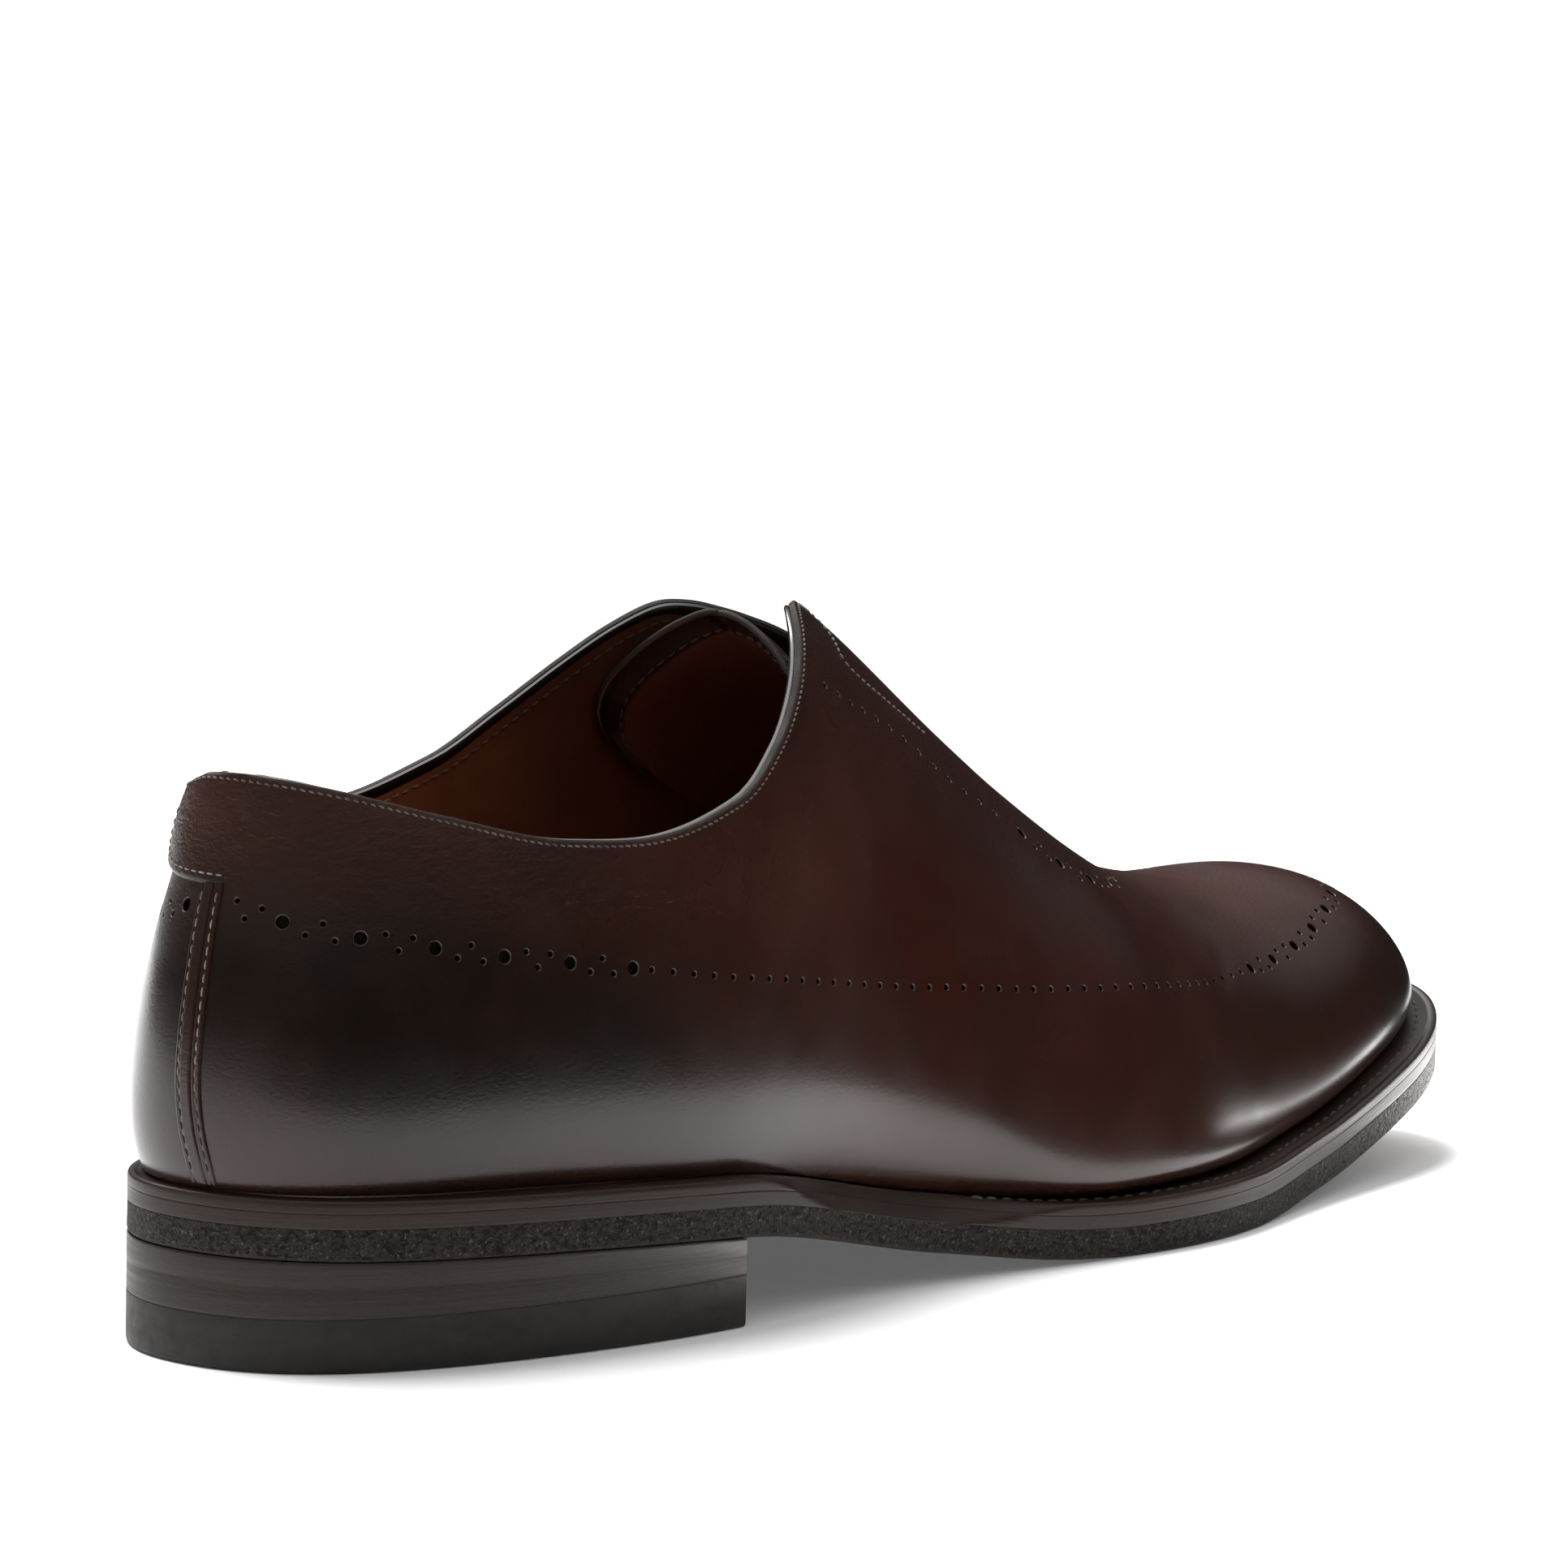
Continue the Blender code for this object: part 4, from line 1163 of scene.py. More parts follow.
# Heel tab and back strip
TAB_ROWS = 48
TAB_COLUMNS = 120
TAB_EDGE = 0.8
TAB_FAN = 3.0
TAB_WIDEST = 15.0
TAB_SOFT = 2.0
TAB_PUFF = 0.2
TAB_OVERHANG = 0.25
TAB_TOP_EDGE = 1.4
TAB_END_EDGE = 2.4
TAB_HIDDEN = 0.12
TAB_LEVEL = (-5.0, 13.0)
TAB_LEAN = 11.0
TAB_DARK_EDGE = 1.6
TAB_SINK = 0.5
TAB_STITCH_INSET = 1.5
TAB_END_INSET = 2.5
STRIP_WIDTH = 5.2
STRIP_RISE = 0.45
STRIP_EDGE = 0.7
STRIP_SEAM = -0.75
STRIP_SEAM_WIDTH = 0.2
STRIP_SEAM_DEPTH = 0.3
STRIP_BEHIND_WELT = 1.0
STRIP_UNDER_TAB = 0.3
STRIP_ROWS = 150
STRIP_COLUMNS = 45
STRIP_TONE = 0.22
STRIP_WRINKLES = 0.12
ROW_OFFSET = 1.7
ROW_DIP = 0.14
ROW_DIP_WIDTH = 0.35
HEEL_ARC = math.sqrt(UPPER_HEEL_RADIUS * upper.length / 2)


def heel_surface(signed, heights):
    """Rise of places round the heel at heights over the floor."""
    return by_side(signed, lambda angle, side: rise_at_height(angle, heights, side))


def rounded(distance, width):
    """Round edge: 0 at the edge and 1 from a width onwards."""
    inside = 1 - np.clip(distance / width, 0, 1)
    return np.sqrt(np.maximum(1 - inside**2, 0))


def tab_top(signed):
    """Height of the tab's upper edge, just below the collar."""
    x = UPPER_BACK + upper.length * share_of(signed) + heel_curve(TAB_HEIGHT_OVER_WELT)
    return by_side(signed, lambda _, side: collar[side](x)) - SEAM_GAP


def tab_bounds(signed):
    """Heights of the lower and upper edge of the tab."""
    corner = np.clip((signed - TAB_CORNER_ANGLE) / (TAB_MEDIAL_ANGLE - TAB_CORNER_ANGLE), 0, 1)
    top = tab_top(signed)
    return top - (top - TAB_LOW) * (1 - corner**TAB_SQUARENESS) ** (1 / TAB_SQUARENESS), top


def tab_height(signed, above, below, ahead):
    """Height of the tab over the upper: a round lip at the back, fading out on the lateral side."""
    beyond = (signed - TAB_CORNER_ANGLE) * HEEL_ARC
    past = np.maximum(-beyond, 0)
    width = np.minimum(TAB_EDGE + TAB_FAN * past, TAB_WIDEST)
    soft = smooth_step(0, TAB_SOFT, past)
    low_edge = (1 - soft) * rounded(above, width) + soft * smooth_step(0, width, above)
    puff = 1 - TAB_PUFF + TAB_PUFF * np.sin(math.pi * np.clip(above / (above + below + 0.01), 0, 1))
    edges = low_edge * puff * rounded(below + TAB_OVERHANG, TAB_TOP_EDGE) * rounded(ahead, TAB_END_EDGE)
    fade = smooth_step(*TAB_LEVEL, beyond)
    return (TAB_THICKNESS + SEAM_GAP) * fade * edges - TAB_HIDDEN * (1 - fade * edges)


def edge_shade(tab):
    """Share of the tone that stays at each point of the tab, whose free edge is dark."""
    x, y, z = design_points(tab).T
    around = np.sign(y) * upper.angle_at(np.clip(x - TAB_LEAN, UPPER_BACK, SLIT_END))
    beside = np.minimum(z - tab_bounds(around)[0], (TAB_MEDIAL_ANGLE - around) * HEEL_ARC)
    return np.where(around > TAB_CORNER_ANGLE, smooth_step(0, TAB_DARK_EDGE, beside), 1)


def build_tab():
    signed = np.linspace(TAB_LATERAL_ANGLE, TAB_MEDIAL_ANGLE - NUDGE, TAB_COLUMNS)
    low, top = tab_bounds(signed)
    even = np.linspace(0, 1, TAB_ROWS)
    shares = (smooth_step(0, 1, even) + even) / 2
    heights = low[:, None] + (top - low)[:, None] * shares[None, :]
    angles = np.repeat(signed[:, None], TAB_ROWS, axis=1)
    ahead = (TAB_MEDIAL_ANGLE - angles) * HEEL_ARC
    height = tab_height(angles, heights - low[:, None], top[:, None] - heights, ahead)
    tab = pad("heel_tab_skin", angles, heel_surface(angles, heights), height, TAB_SINK, leather)
    paint(tab, darker=edge_shade(tab))
    dress(tab, "upper_leather", "heel_tab")


def strip_place(across, heights):
    """Sweep angle and rise of places on the back strip, across it in millimetres from its middle."""
    angles = (strip_offset(heights) + across) / HEEL_ARC
    return angles, heel_surface(angles, heights)


def build_strip():
    offsets = np.linspace(-STRIP_WIDTH / 2, STRIP_WIDTH / 2, STRIP_COLUMNS)
    foot = float(welt_top(0.0)) + STRIP_FOOT - STRIP_BEHIND_WELT
    heights = np.linspace(foot, TAB_LOW + STRIP_UNDER_TAB, STRIP_ROWS)
    across, levels = np.meshgrid(offsets, heights)
    side = rounded(STRIP_WIDTH / 2 - np.abs(across), STRIP_EDGE)
    seam = np.exp(-(((across - STRIP_SEAM) / STRIP_SEAM_WIDTH) ** 2))
    dips = ROW_DIP * np.exp(-(((np.abs(across) - ROW_OFFSET) / ROW_DIP_WIDTH) ** 2))
    height = (STRIP_RISE - dips) * side - STRIP_SEAM_DEPTH * seam
    strip = pad("back_strip_skin", *strip_place(across, levels), height, TAB_SINK, leather)
    paint(strip, tone=STRIP_TONE, wrinkle=STRIP_WRINKLES)
    dress(strip, "upper_leather", "back_strip")


build_tab()
build_strip()


# Tongue: bound along its edge, leather outside and lining on the foot side
TONGUE_MATERIALS = (leather, binding, lining, cut_edge)
# materials in order from the face over the band and the cut edge to the foot side
TONGUE_SLOTS = (0, 1, 3, 1, 2)
TONGUE_COLUMNS = 91
TONGUE_ROWS = 44
TONGUE_CROWDING = 1.3
TONGUE_RUN = 78.0
TONGUE_THIN = 0.35
TONGUE_THIN_REACH = 9.0
TONGUE_EDGE_STEPS = 9
BAND_WIDTH = 4.5
BAND_LIFT = 0.3
BAND_STEP = 0.35
BAND_ROWS = 13
BAND_STEPS = np.linspace(0, BAND_WIDTH, BAND_ROWS)
FLAT_STEPS = BAND_WIDTH + BAND_STEP + np.linspace(0, 1, TONGUE_ROWS) ** TONGUE_CROWDING * TONGUE_RUN
TONGUE_STEPS = np.concatenate([BAND_STEPS, FLAT_STEPS])


def build_tongue():
    across = np.linspace(-1, 1, TONGUE_COLUMNS)
    rear = tongue_rear(np.abs(across)) - TONGUE_SKEW * across
    shares = TONGUE_STEPS / TONGUE_STEPS[-1]
    reach = (TONGUE_FRONT - rear)[None, :]
    x = rear[None, :] + np.minimum(TONGUE_STEPS[:, None], shares[:, None] * reach)
    angles = upper.angle_at(x)
    rises = 1 - np.abs(across)[None, :] * (1 - TONGUE_EDGE_RISE) + 0 * angles
    signed = np.where(across < 0, -angles, angles)
    points = by_side(signed, lambda angle, side: upper_point(angle, rises, side))
    inward = grid_normals(points)
    if inward[0, TONGUE_COLUMNS // 2, 2] > 0:
        inward = -inward
    sink = TONGUE_SINK * np.clip(1 - (across / TONGUE_SINK_REACH) ** 2, 0, 1)
    lift = np.where(TONGUE_STEPS <= BAND_WIDTH, BAND_LIFT, 0.0)[:, None]
    thick = TONGUE_THIN + (1 - TONGUE_THIN) * smooth_step(0, TONGUE_THIN_REACH, TONGUE_STEPS)
    depth = WALL + TONGUE_CLEARANCE + sink[None, :]
    face = points + inward * (depth - lift)[..., None]
    foot = points + inward * (depth + TONGUE_THICKNESS * thick[:, None] + lift)[..., None]
    back = unit(points[0] - points[1])
    middle = (face[0] + foot[0]) / 2
    half = np.linalg.norm(face[0] - foot[0], axis=-1, keepdims=True) / 2
    edge = []
    for turn in np.linspace(0, math.pi, TONGUE_EDGE_STEPS)[1:-1]:
        edge.append(middle - inward[0] * half * math.cos(turn) + back * half * math.sin(turn))
    rows = np.concatenate([face[::-1], np.stack(edge), foot])
    count = len(rows)
    faces = grid_faces(count, TONGUE_COLUMNS)
    first_cut = len(face) - 2
    starts = (TONGUE_ROWS, first_cut, first_cut + len(edge), count - TONGUE_ROWS - 1)
    slots = []
    for r in range(count - 1):
        slots += [TONGUE_SLOTS[sum(r >= start for start in starts)]] * (TONGUE_COLUMNS - 1)
    for c in (0, TONGUE_COLUMNS - 1):
        column = [r * TONGUE_COLUMNS + c for r in range(count)]
        for r in range(count // 2):
            faces.append((column[r], column[r + 1], column[count - 2 - r], column[count - 1 - r]))
            slots.append(1)
    for c in range(TONGUE_COLUMNS - 1):
        last = (count - 1) * TONGUE_COLUMNS
        faces.append((c, c + 1, last + c + 1, last + c))
        slots.append(0)
    tongue = new_piece("tongue_skin", rows.reshape(-1, 3), faces, TONGUE_MATERIALS, slots, 55)
    paint(tongue)
    dress(tongue, "tongue_leather", "tongue")
    return foot, inward


tongue_foot, tongue_inward = build_tongue()


# Stitches
RISE_LIMITS = (0.02, 0.99)


def surface_step(climb, along, aim):
    """Changes of sweep angle and rise that move a place on the upper by an aim in millimetres."""
    pairs = ((climb, climb), (climb, along), (along, along), (climb, aim), (along, aim))
    a, b, c, to_climb, to_along = (np.sum(first * second, axis=-1) for first, second in pairs)
    base = a * c - b * b
    return (a * to_along - b * to_climb) / base, (c * to_climb - b * to_along) / base


def inset_edge(signed, distance):
    """Sweep angles and rises of a path that keeps a distance below the upper's top edge."""
    rise = signed_top(signed)
    climb = upward(signed, rise - NUDGE)
    run = unit(np.gradient(surface(signed, rise), axis=0))
    inside = np.cross(run, outward(signed, rise))
    inside = inside * -np.sign(np.sum(inside * climb, axis=-1, keepdims=True))
    turn, lift = surface_step(climb, onward(signed, rise) / (2 * NUDGE), inside * distance)
    return signed + turn, rise + lift


def locate(points, first_rise=0.7, rounds=12):
    """Sweep angles and rises of design points that lie near the upper's outside."""
    signed = np.where(points[:, 1] < 0, -1.0, 1.0) * upper.angle_at(points[:, 0])
    rise = np.full(len(points), first_rise)
    for _ in range(rounds):
        along = onward(signed, rise) / (2 * NUDGE)
        turn, lift = surface_step(upward(signed, rise), along, points - surface(signed, rise))
        signed = signed + turn
        rise = np.clip(rise + lift, *RISE_LIMITS)
    return signed, rise


def tab_lift(signed, rise):
    """Height of the heel tab's face over the upper, or 0 beside the tab."""
    z = surface(signed, rise)[..., 2]
    low, top = tab_bounds(signed)
    height = tab_height(signed, z - low, top - z, (TAB_MEDIAL_ANGLE - signed) * HEEL_ARC)
    on_tab = (signed > TAB_LATERAL_ANGLE) & (signed < TAB_MEDIAL_ANGLE) & (z > low)
    return np.where(on_tab, np.maximum(height, 0), 0.0)


# pitch, length, radius, lift and slant of the stitches
COLLAR_STITCH = (1.3, 1.0, 0.16, 0.06, -0.2)
LINING_STITCH = (2.1, 1.6, 0.2, 0.1)
EAR_STITCH = (1.55, 1.15, 0.13, 0.06)
STRIP_STITCH = (1.95, 1.5, 0.15, 0.06)
TAB_STITCH = (1.6, 1.2, 0.14, 0.06)
TONGUE_STITCH = (2.2, 1.7, 0.22, 0.08)
WELT_STITCH = (3.3, 2.6, 0.3, 0.04)
# axis and places between which a thread's paleness changes, and its first and last value
COLLAR_FADE = (0, 84.0, 104.0, 0.45, 1.0)
# painted shade: the lining thread darkens towards the front, as the lining does
LINING_THREAD_SHADE = (0, 62.0, 100.0, 1.0, 0.1)
HEEL_FADE = (2, 34.0, 48.0, 0.0, 1.0)
COLLAR_INSET = 1.25
LINING_INSET = 3.0
LINING_LIFT = 0.02
EDGE_SAMPLES = 900
ROW_SAMPLES = 200
TAB_SAMPLES = 300
TAB_TURN = 0.96
# gaps below and above the rows on the strip
STRIP_ROW_ENDS = (0.5, 0.8)
EAR_TIP = float(upper.angle_at(123.0))
EAR_MARGIN = 0.02
EAR_ROW = (
    # points of the stitches round the gusset beside the slit
    (125.0, -10.6, 103.0), (128.8, -8.6, 102.0), (132.6, -7.4, 100.2), (133.6, -9.0, 98.7),
    (132.0, -12.2, 96.6), (130.4, -15.2, 94.6), (132.8, -16.0, 92.0), (136.9, -16.0, 89.4),
    (141.7, -16.0, 86.7), (146.0, -15.9, 84.3), (151.0, -15.5, 81.3),
)


def upper_row(angles, rises, raised, sizes):
    """Row of stitches raised over the upper's outside."""
    normals = outward(angles, rises)
    path = surface(angles, rises) + normals * np.reshape(raised, (-1, 1))
    return stitch_row(path, normals, *sizes)


def fade_thread(piece, axis, low, high, first, last):
    """Stores how pale the thread is."""
    share = smooth_step(low, high, design_points(piece)[:, axis])
    store(piece, "fade", first + (last - first) * share)


def build_edge_stitches():
    """Rows along the collar and the ears' edges, outside and on the lining."""
    signed = np.linspace(-EAR_TIP, EAR_TIP, EDGE_SAMPLES)
    angles, rises = inset_edge(signed, COLLAR_INSET)
    row = upper_row(angles, rises, tab_lift(angles, rises), COLLAR_STITCH)
    fade_thread(stitches("collar_stitches", [row], collar_thread, "upper_leather"), *COLLAR_FADE)
    angles, rises = inset_edge(signed, LINING_INSET)
    normals = outward(angles, rises)
    row = stitch_row(surface(angles, rises) - normals * (WALL + LINING_LIFT), -normals, *LINING_STITCH)
    # the lining thread gets painted shade towards the front
    fade_thread(stitches("lining_stitches", [row], tan_thread, "insole_leather"), *LINING_THREAD_SHADE)


def build_ear_stitches():
    ear = np.array(EAR_ROW, float)
    knots = np.arange(len(ear))
    steps = np.linspace(0, len(ear) - 1, ROW_SAMPLES)
    ear_angles, ear_rises = locate(np.stack([natural_spline(knots, part)(steps) for part in ear.T], axis=-1))
    rows = []
    for side in SIDES:
        angles = -side * ear_angles
        rises = np.minimum(ear_rises, signed_top(angles) - EAR_MARGIN)
        rows.append(upper_row(angles, rises, 0.0, EAR_STITCH))
    stitches("ear_stitches", rows, pale_thread, "upper_leather")


def build_heel_stitches():
    """Two rows on the back strip, and one along the free edge of the tab."""
    rows = []
    foot = float(welt_top(0.0)) + STRIP_FOOT
    heights = np.linspace(foot + STRIP_ROW_ENDS[0], TAB_LOW - STRIP_ROW_ENDS[1], ROW_SAMPLES)
    for across in (-ROW_OFFSET, ROW_OFFSET):
        place = strip_place(np.full(len(heights), across), heights)
        rows.append(upper_row(*place, STRIP_RISE - ROW_DIP, STRIP_STITCH))
    turn = np.linspace(0, TAB_TURN, TAB_SAMPLES) * math.pi / 2
    end = TAB_MEDIAL_ANGLE - TAB_END_INSET / HEEL_ARC
    signed = TAB_CORNER_ANGLE + np.sin(turn) ** (2 / TAB_SQUARENESS) * (end - TAB_CORNER_ANGLE)
    top = tab_top(signed)
    levels = top - (top - TAB_LOW - TAB_STITCH_INSET) * np.cos(turn) ** (2 / TAB_SQUARENESS)
    rises = heel_surface(signed, levels)
    rows.append(upper_row(signed, rises, tab_lift(signed, rises), TAB_STITCH))
    fade_thread(stitches("heel_stitches", rows, heel_thread, "upper_leather"), *HEEL_FADE)


def build_tongue_stitches():
    band = (BAND_ROWS - 2, slice(2, -2))
    row = stitch_row(tongue_foot[band], tongue_inward[band], *TONGUE_STITCH)
    stitches("tongue_stitches", [row], dark_thread, "tongue_leather")


build_edge_stitches()
build_ear_stitches()
build_heel_stitches()
build_tongue_stitches()


# Sole: rounded and grooved edges on each layer
SOLE_SECTIONS = 240
HEEL_SECTIONS = 110
OUTSOLE_PROFILE = (
    # inset from the edge, height over the underside
    (0.80, 0.00), (0.42, 0.10), (0.14, 0.36), (0.00, 0.75), (0.02, 2.20), (0.04, 3.40),
    (0.02, 4.40), (0.03, 4.70), (0.10, 4.80),
)
MIDSOLE_PROFILE = (
    (0.10, 0.00), (0.02, 0.08), (0.00, 0.30), (0.01, 1.20), (0.00, 2.05), (0.01, 2.24),
    (0.05, 2.30),
)
WELT_PROFILE = (
    (0.05, 0.00), (0.01, 0.06), (0.00, 0.28), (0.01, 0.90), (0.04, 1.40), (0.16, 1.68),
    (0.40, 1.84), (0.80, 1.90), (1.20, 1.90), (1.45, 1.82), (1.75, 1.82), (2.00, 1.90),
    (WELT_WIDTH, 1.90), (WELT_WIDTH, 0.00),
)
LIFT_PROFILE = (
    (0.80, 0.00), (0.40, 0.10), (0.12, 0.38), (0.00, 0.80), (0.00, 4.00), (0.00, 7.70),
    (0.02, 7.93), (0.06, 8.00),
)
STACK_PROFILE = (
    # inset from the edge, share of the height
    (0.06, 0.0), (0.01, 0.02), (0.0, 0.06), (0.0, 0.53), (0.05, 0.56), (0.0, 0.59), (0.0, 0.94),
    (0.02, 0.98), (0.10, 1.0),
)


def under(x):
    return underside(np.clip(x, 0, SOLE_LENGTH))


def bevel(x, share):
    """Inset of the leather edge at a share of its height: the waist is bevelled from below upwards."""
    return BEVEL_DEPTH * np.maximum(0, share - bevel_start(x))


def edge_points(angle, side, inset, share=None):
    """Plan points along the sole's edge, with the waist's bevel at a share of the leather's height."""
    if share is not None:
        inset = inset + bevel(sole.inset(angle, side, 0.0)[0], share)
    return sole.inset(angle, side, inset)


def plate(name, angles, profile, level, material, bevelled=False):
    """Solid plate with an edge profile. Level gives a profile point's height over the floor."""
    halves = []
    for side, ordered in zip(SIDES, (profile, profile[::-1])):
        for inset, height in ordered:
            x, y = edge_points(angles, side, inset, height / LEATHER if bevelled else None)
            halves.append(np.stack([x, y, level(x, height) + 0 * y], axis=-1))
    return loft(name, np.stack(halves, axis=1), (material,))


def store_level(piece, base):
    """Stores the height of each point over a base that follows the sole's underside."""
    x, _, z = design_points(piece).T
    store(piece, "level", z - under(x) - base)


def build_welt(angles):
    """Ring all round the shoe, with a stitched ledge and a bevelled waist."""
    sections = []
    for side, ordered in zip(SIDES, (angles, angles[-2:0:-1])):
        rows = []
        for inset, height in WELT_PROFILE:
            share = None if inset == WELT_WIDTH else (MIDSOLE + height) / LEATHER
            x, y = edge_points(ordered, side, inset, share)
            rows.append(np.stack([x, y, under(x) + OUTSOLE + MIDSOLE + height], axis=-1))
        sections.append(np.stack(rows, axis=1))
    return loft("welt_skin", np.concatenate(sections), (welt_edge,), ring=True)


def midsole_level(x, height):
    return under(x) + OUTSOLE + height


def stack_level(x, share):
    return TOP_LIFT + (under(x) - TOP_LIFT) * share


def build_sole():
    angles = np.linspace(0, math.pi, SOLE_SECTIONS)
    outsole = plate("outsole_skin", angles, OUTSOLE_PROFILE, lambda x, height: under(x) + height, rubber)
    store_level(outsole, 0.0)
    dress(outsole, "outsole_rubber", "outsole")
    midsole = plate("midsole_skin", angles, MIDSOLE_PROFILE, midsole_level, midsole_edge, True)
    store_level(midsole, OUTSOLE)
    dress(midsole, "midsole_leather", "midsole")
    welt = build_welt(angles)
    store_level(welt, OUTSOLE)
    dress(welt, "welt_leather", "welt")
    angles = np.linspace(0, float(sole.angle_at(HEEL_LENGTH)), HEEL_SECTIONS)
    lift = plate("lift_skin", angles, LIFT_PROFILE, lambda x, height: 0 * x + height, lift_rubber)
    dress(lift, "lift_rubber", "heel_top_lift")
    stack = plate("stack_skin", angles, STACK_PROFILE, stack_level, stack_edge)
    store(stack, "level", design_points(stack)[:, 2])
    dress(stack, "stack_leather", "heel_stack")


WELT_STITCH_INSET = 3.4
WELT_STITCH_START = 135.0
WELT_STITCH_SAMPLES = 400


def build_welt_stitches():
    """Sole stitches, mostly sunk in the welt's ledge, from the waist round the toe."""
    angles = np.linspace(float(sole.angle_at(WELT_STITCH_START)), math.pi, WELT_STITCH_SAMPLES)
    path = []
    for side, ordered in zip(SIDES, (angles, angles[-2::-1])):
        x, y = edge_points(ordered, side, WELT_STITCH_INSET)
        path.append(np.stack([x, y, welt_top(np.clip(x, 0, SOLE_LENGTH))], axis=-1))
    path = np.concatenate(path)
    row = stitch_row(path, np.tile((0.0, 0.0, 1.0), (len(path), 1)), *WELT_STITCH)
    stitches("welt_stitches", [row], welt_thread, "welt_leather")


build_sole()
build_welt_stitches()
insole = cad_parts["insole"]
insole.data.materials.clear()
insole.data.materials.append(lining)


# Stage: pale floor, soft light and the camera
CAMERA_FOCUS = (110.35, -20.20, 77.05)
CAMERA_DISTANCE = 1052.47
CAMERA_TURN = math.radians(-51.604)
CAMERA_TILT = math.radians(6.526)
CAMERA_ROLL = math.radians(1.185)
CAMERA_REACH = 50.0
SENSOR = 36.0
FOCAL_LENGTH = 158.38
FLOOR = (
    # corners in metres
    (-2.2, -0.235), (-0.016, -0.25), (0.077, -0.176), (0.11, -0.145), (0.115, -0.06),
    (0.13, -0.042), (0.19, -0.03), (0.42, 0.02), (0.42, 2.2), (-2.2, 2.2),
)
# painted light falloff: the floor's grey drops towards the heel side, standing in for light that falls off
# there, so the heel reflects a dimmer floor
FLOOR_GREYS = ((0.67, 0.67, 0.67), (0.86, 0.86, 0.86))
FLOOR_LIGHT_FALLOFF = (-0.14, 0.0)
# light that only the floor gets: name, strength, whether it throws a shadow
FLOOR_SUNS = (("floor_sun", 4.2, True), ("floor_fill", 0.60, False))
SUN_TOWARDS = (0.02, -0.30, -1.0)
SUN_WIDTH = math.radians(22)
# place and aim in metres, size and power of the light behind the shoe
BACK_SOFT = ((0.35, 0.95, 1.25), (0.0, 0.0, 0.06), (1.5, 1.0), 23.0)
# height of a direction, brightness of the sky there
SKY = ((0.30, 0.02), (1.0, 1.2))
BACKDROP = 1.05
CARD_HEIGHT = 0.004
CARDS = (
    # low cards that face up: name, place in metres, size, power, the pieces they light or none for all
    ("toe_card", 0.31, -0.075, (0.14, 0.06), 0.17, ()),
    ("edge_card", 0.36, -0.13, (0.46, 0.24), 2.2, ("welt_skin", "midsole_skin")),
    ("rubber_card", 0.36, -0.13, (0.46, 0.24), 4.0, ("outsole_skin",)),
    ("heel_card", 0.01, -0.10, (0.14, 0.12), 0.32, ("stack_skin", "lift_skin")),
)


def build_camera():
    data = bpy.data.cameras.new("camera")
    data.sensor_width = SENSOR
    data.lens = FOCAL_LENGTH
    data.clip_end = CAMERA_REACH
    level = Matrix.Rotation(CAMERA_TURN, 4, "Z") @ Matrix.Rotation(math.pi / 2 - CAMERA_TILT, 4, "X")
    turn = level @ Matrix.Rotation(CAMERA_ROLL, 4, "Z")
    place = Vector(to_world(CAMERA_FOCUS)) + turn.col[2].xyz * CAMERA_DISTANCE * MM
    camera = put("camera", data)
    camera.matrix_world = Matrix.Translation(place) @ turn
    bpy.context.scene.camera = camera


def build_floor():
    mesh = bpy.data.meshes.new("floor")
    mesh.from_pydata([(x, y, 0.0) for x, y in FLOOR], [], [tuple(range(len(FLOOR)))])
    look = Look("pale_floor", FLOOR_GREYS[1], 0.7, Specular_IOR_Level=0.2)
    # painted light falloff: greyer floor towards the heel side
    across = look.add("ShaderNodeSeparateXYZ", look.place).outputs[0]
    look.colour(look.mix(look.fit(across, *FLOOR_LIGHT_FALLOFF), *FLOOR_GREYS))
    mesh.materials.append(look.material)
    floor = put("floor", mesh)
    return floor


def aimed(direction):
    """Turn of a light that shines in a direction."""
    return Vector(direction).to_track_quat("-Z", "Y").to_euler()


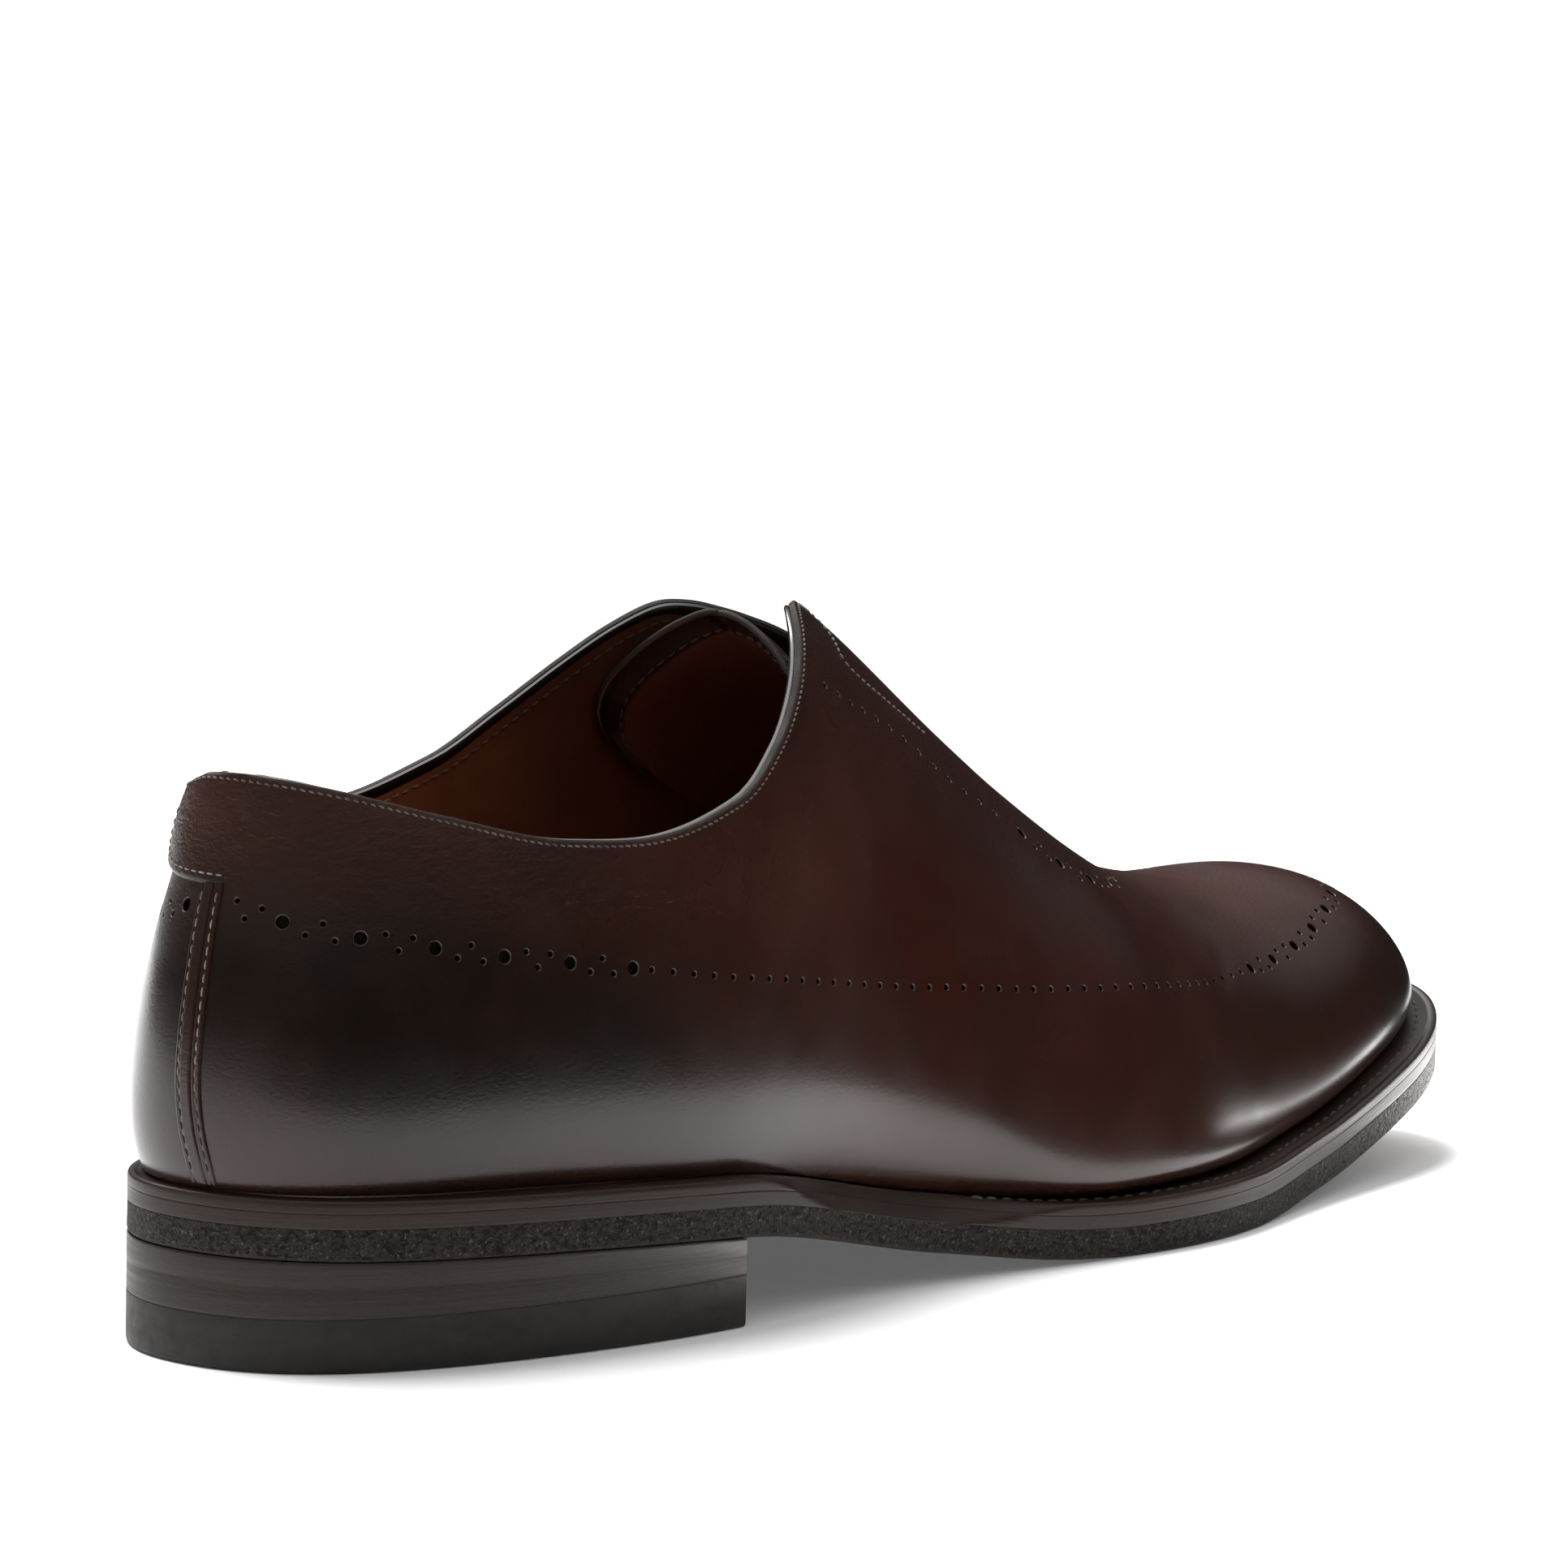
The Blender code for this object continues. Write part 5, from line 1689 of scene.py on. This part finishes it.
def add_area(name, place, aim, size, power):
    """Rectangular soft light that faces a point, both in metres."""
    data = bpy.data.lights.new(name, "AREA")
    data.shape = "RECTANGLE"
    data.size, data.size_y = size
    data.energy = power
    light = put(name, data)
    light.location = place
    light.rotation_euler = aimed(Vector(aim) - Vector(place))
    return light


def light_only(light, pieces):
    """Lets a light reach some objects only."""
    lit = bpy.data.collections.new("lit_by_" + light.name)
    for piece in pieces:
        lit.objects.link(piece)
    light.light_linking.receiver_collection = lit


def build_world():
    """White to the camera, dim for light and reflections apart from a soft sky overhead."""
    world = bpy.data.worlds.new("studio")
    bpy.context.scene.world = world
    world.use_nodes = True
    world.node_tree.nodes.clear()
    nodes = Nodes(world.node_tree)
    direction = nodes.add("ShaderNodeTexCoord").outputs["Generated"]
    height = nodes.add("ShaderNodeSeparateXYZ", direction).outputs["Z"]
    ramp = nodes.add("ShaderNodeValToRGB", height)
    for element, (position, grey) in zip(ramp.color_ramp.elements, SKY):
        element.position = position
        element.color = opaque((grey,) * 3)
    lit = nodes.add("ShaderNodeBackground", ramp.outputs["Color"], 1.0).outputs[0]
    seen = nodes.add("ShaderNodeBackground", opaque((1.0,) * 3), BACKDROP).outputs[0]
    to_camera = nodes.add("ShaderNodeLightPath").outputs["Is Camera Ray"]
    nodes.add("ShaderNodeOutputWorld", nodes.add("ShaderNodeMixShader", to_camera, lit, seen).outputs[0])


def build_lights(floor):
    for name, strength, shadow in FLOOR_SUNS:
        data = bpy.data.lights.new(name, "SUN")
        data.energy = strength
        data.angle = SUN_WIDTH
        data.use_shadow = shadow
        sun = put(name, data)
        sun.rotation_euler = aimed(SUN_TOWARDS)
        light_only(sun, [floor])
    add_area("back_soft", *BACK_SOFT)
    for name, x, y, size, power, pieces in CARDS:
        card = add_area(name, (x, y, CARD_HEIGHT), (x, y, 1.0), size, power)
        card.visible_camera = False
        if pieces:
            light_only(card, [bpy.data.objects[piece] for piece in pieces])


build_world()
build_lights(build_floor())
build_camera()
view = bpy.context.scene.view_settings
view.view_transform = "Standard"
view.look = "None"
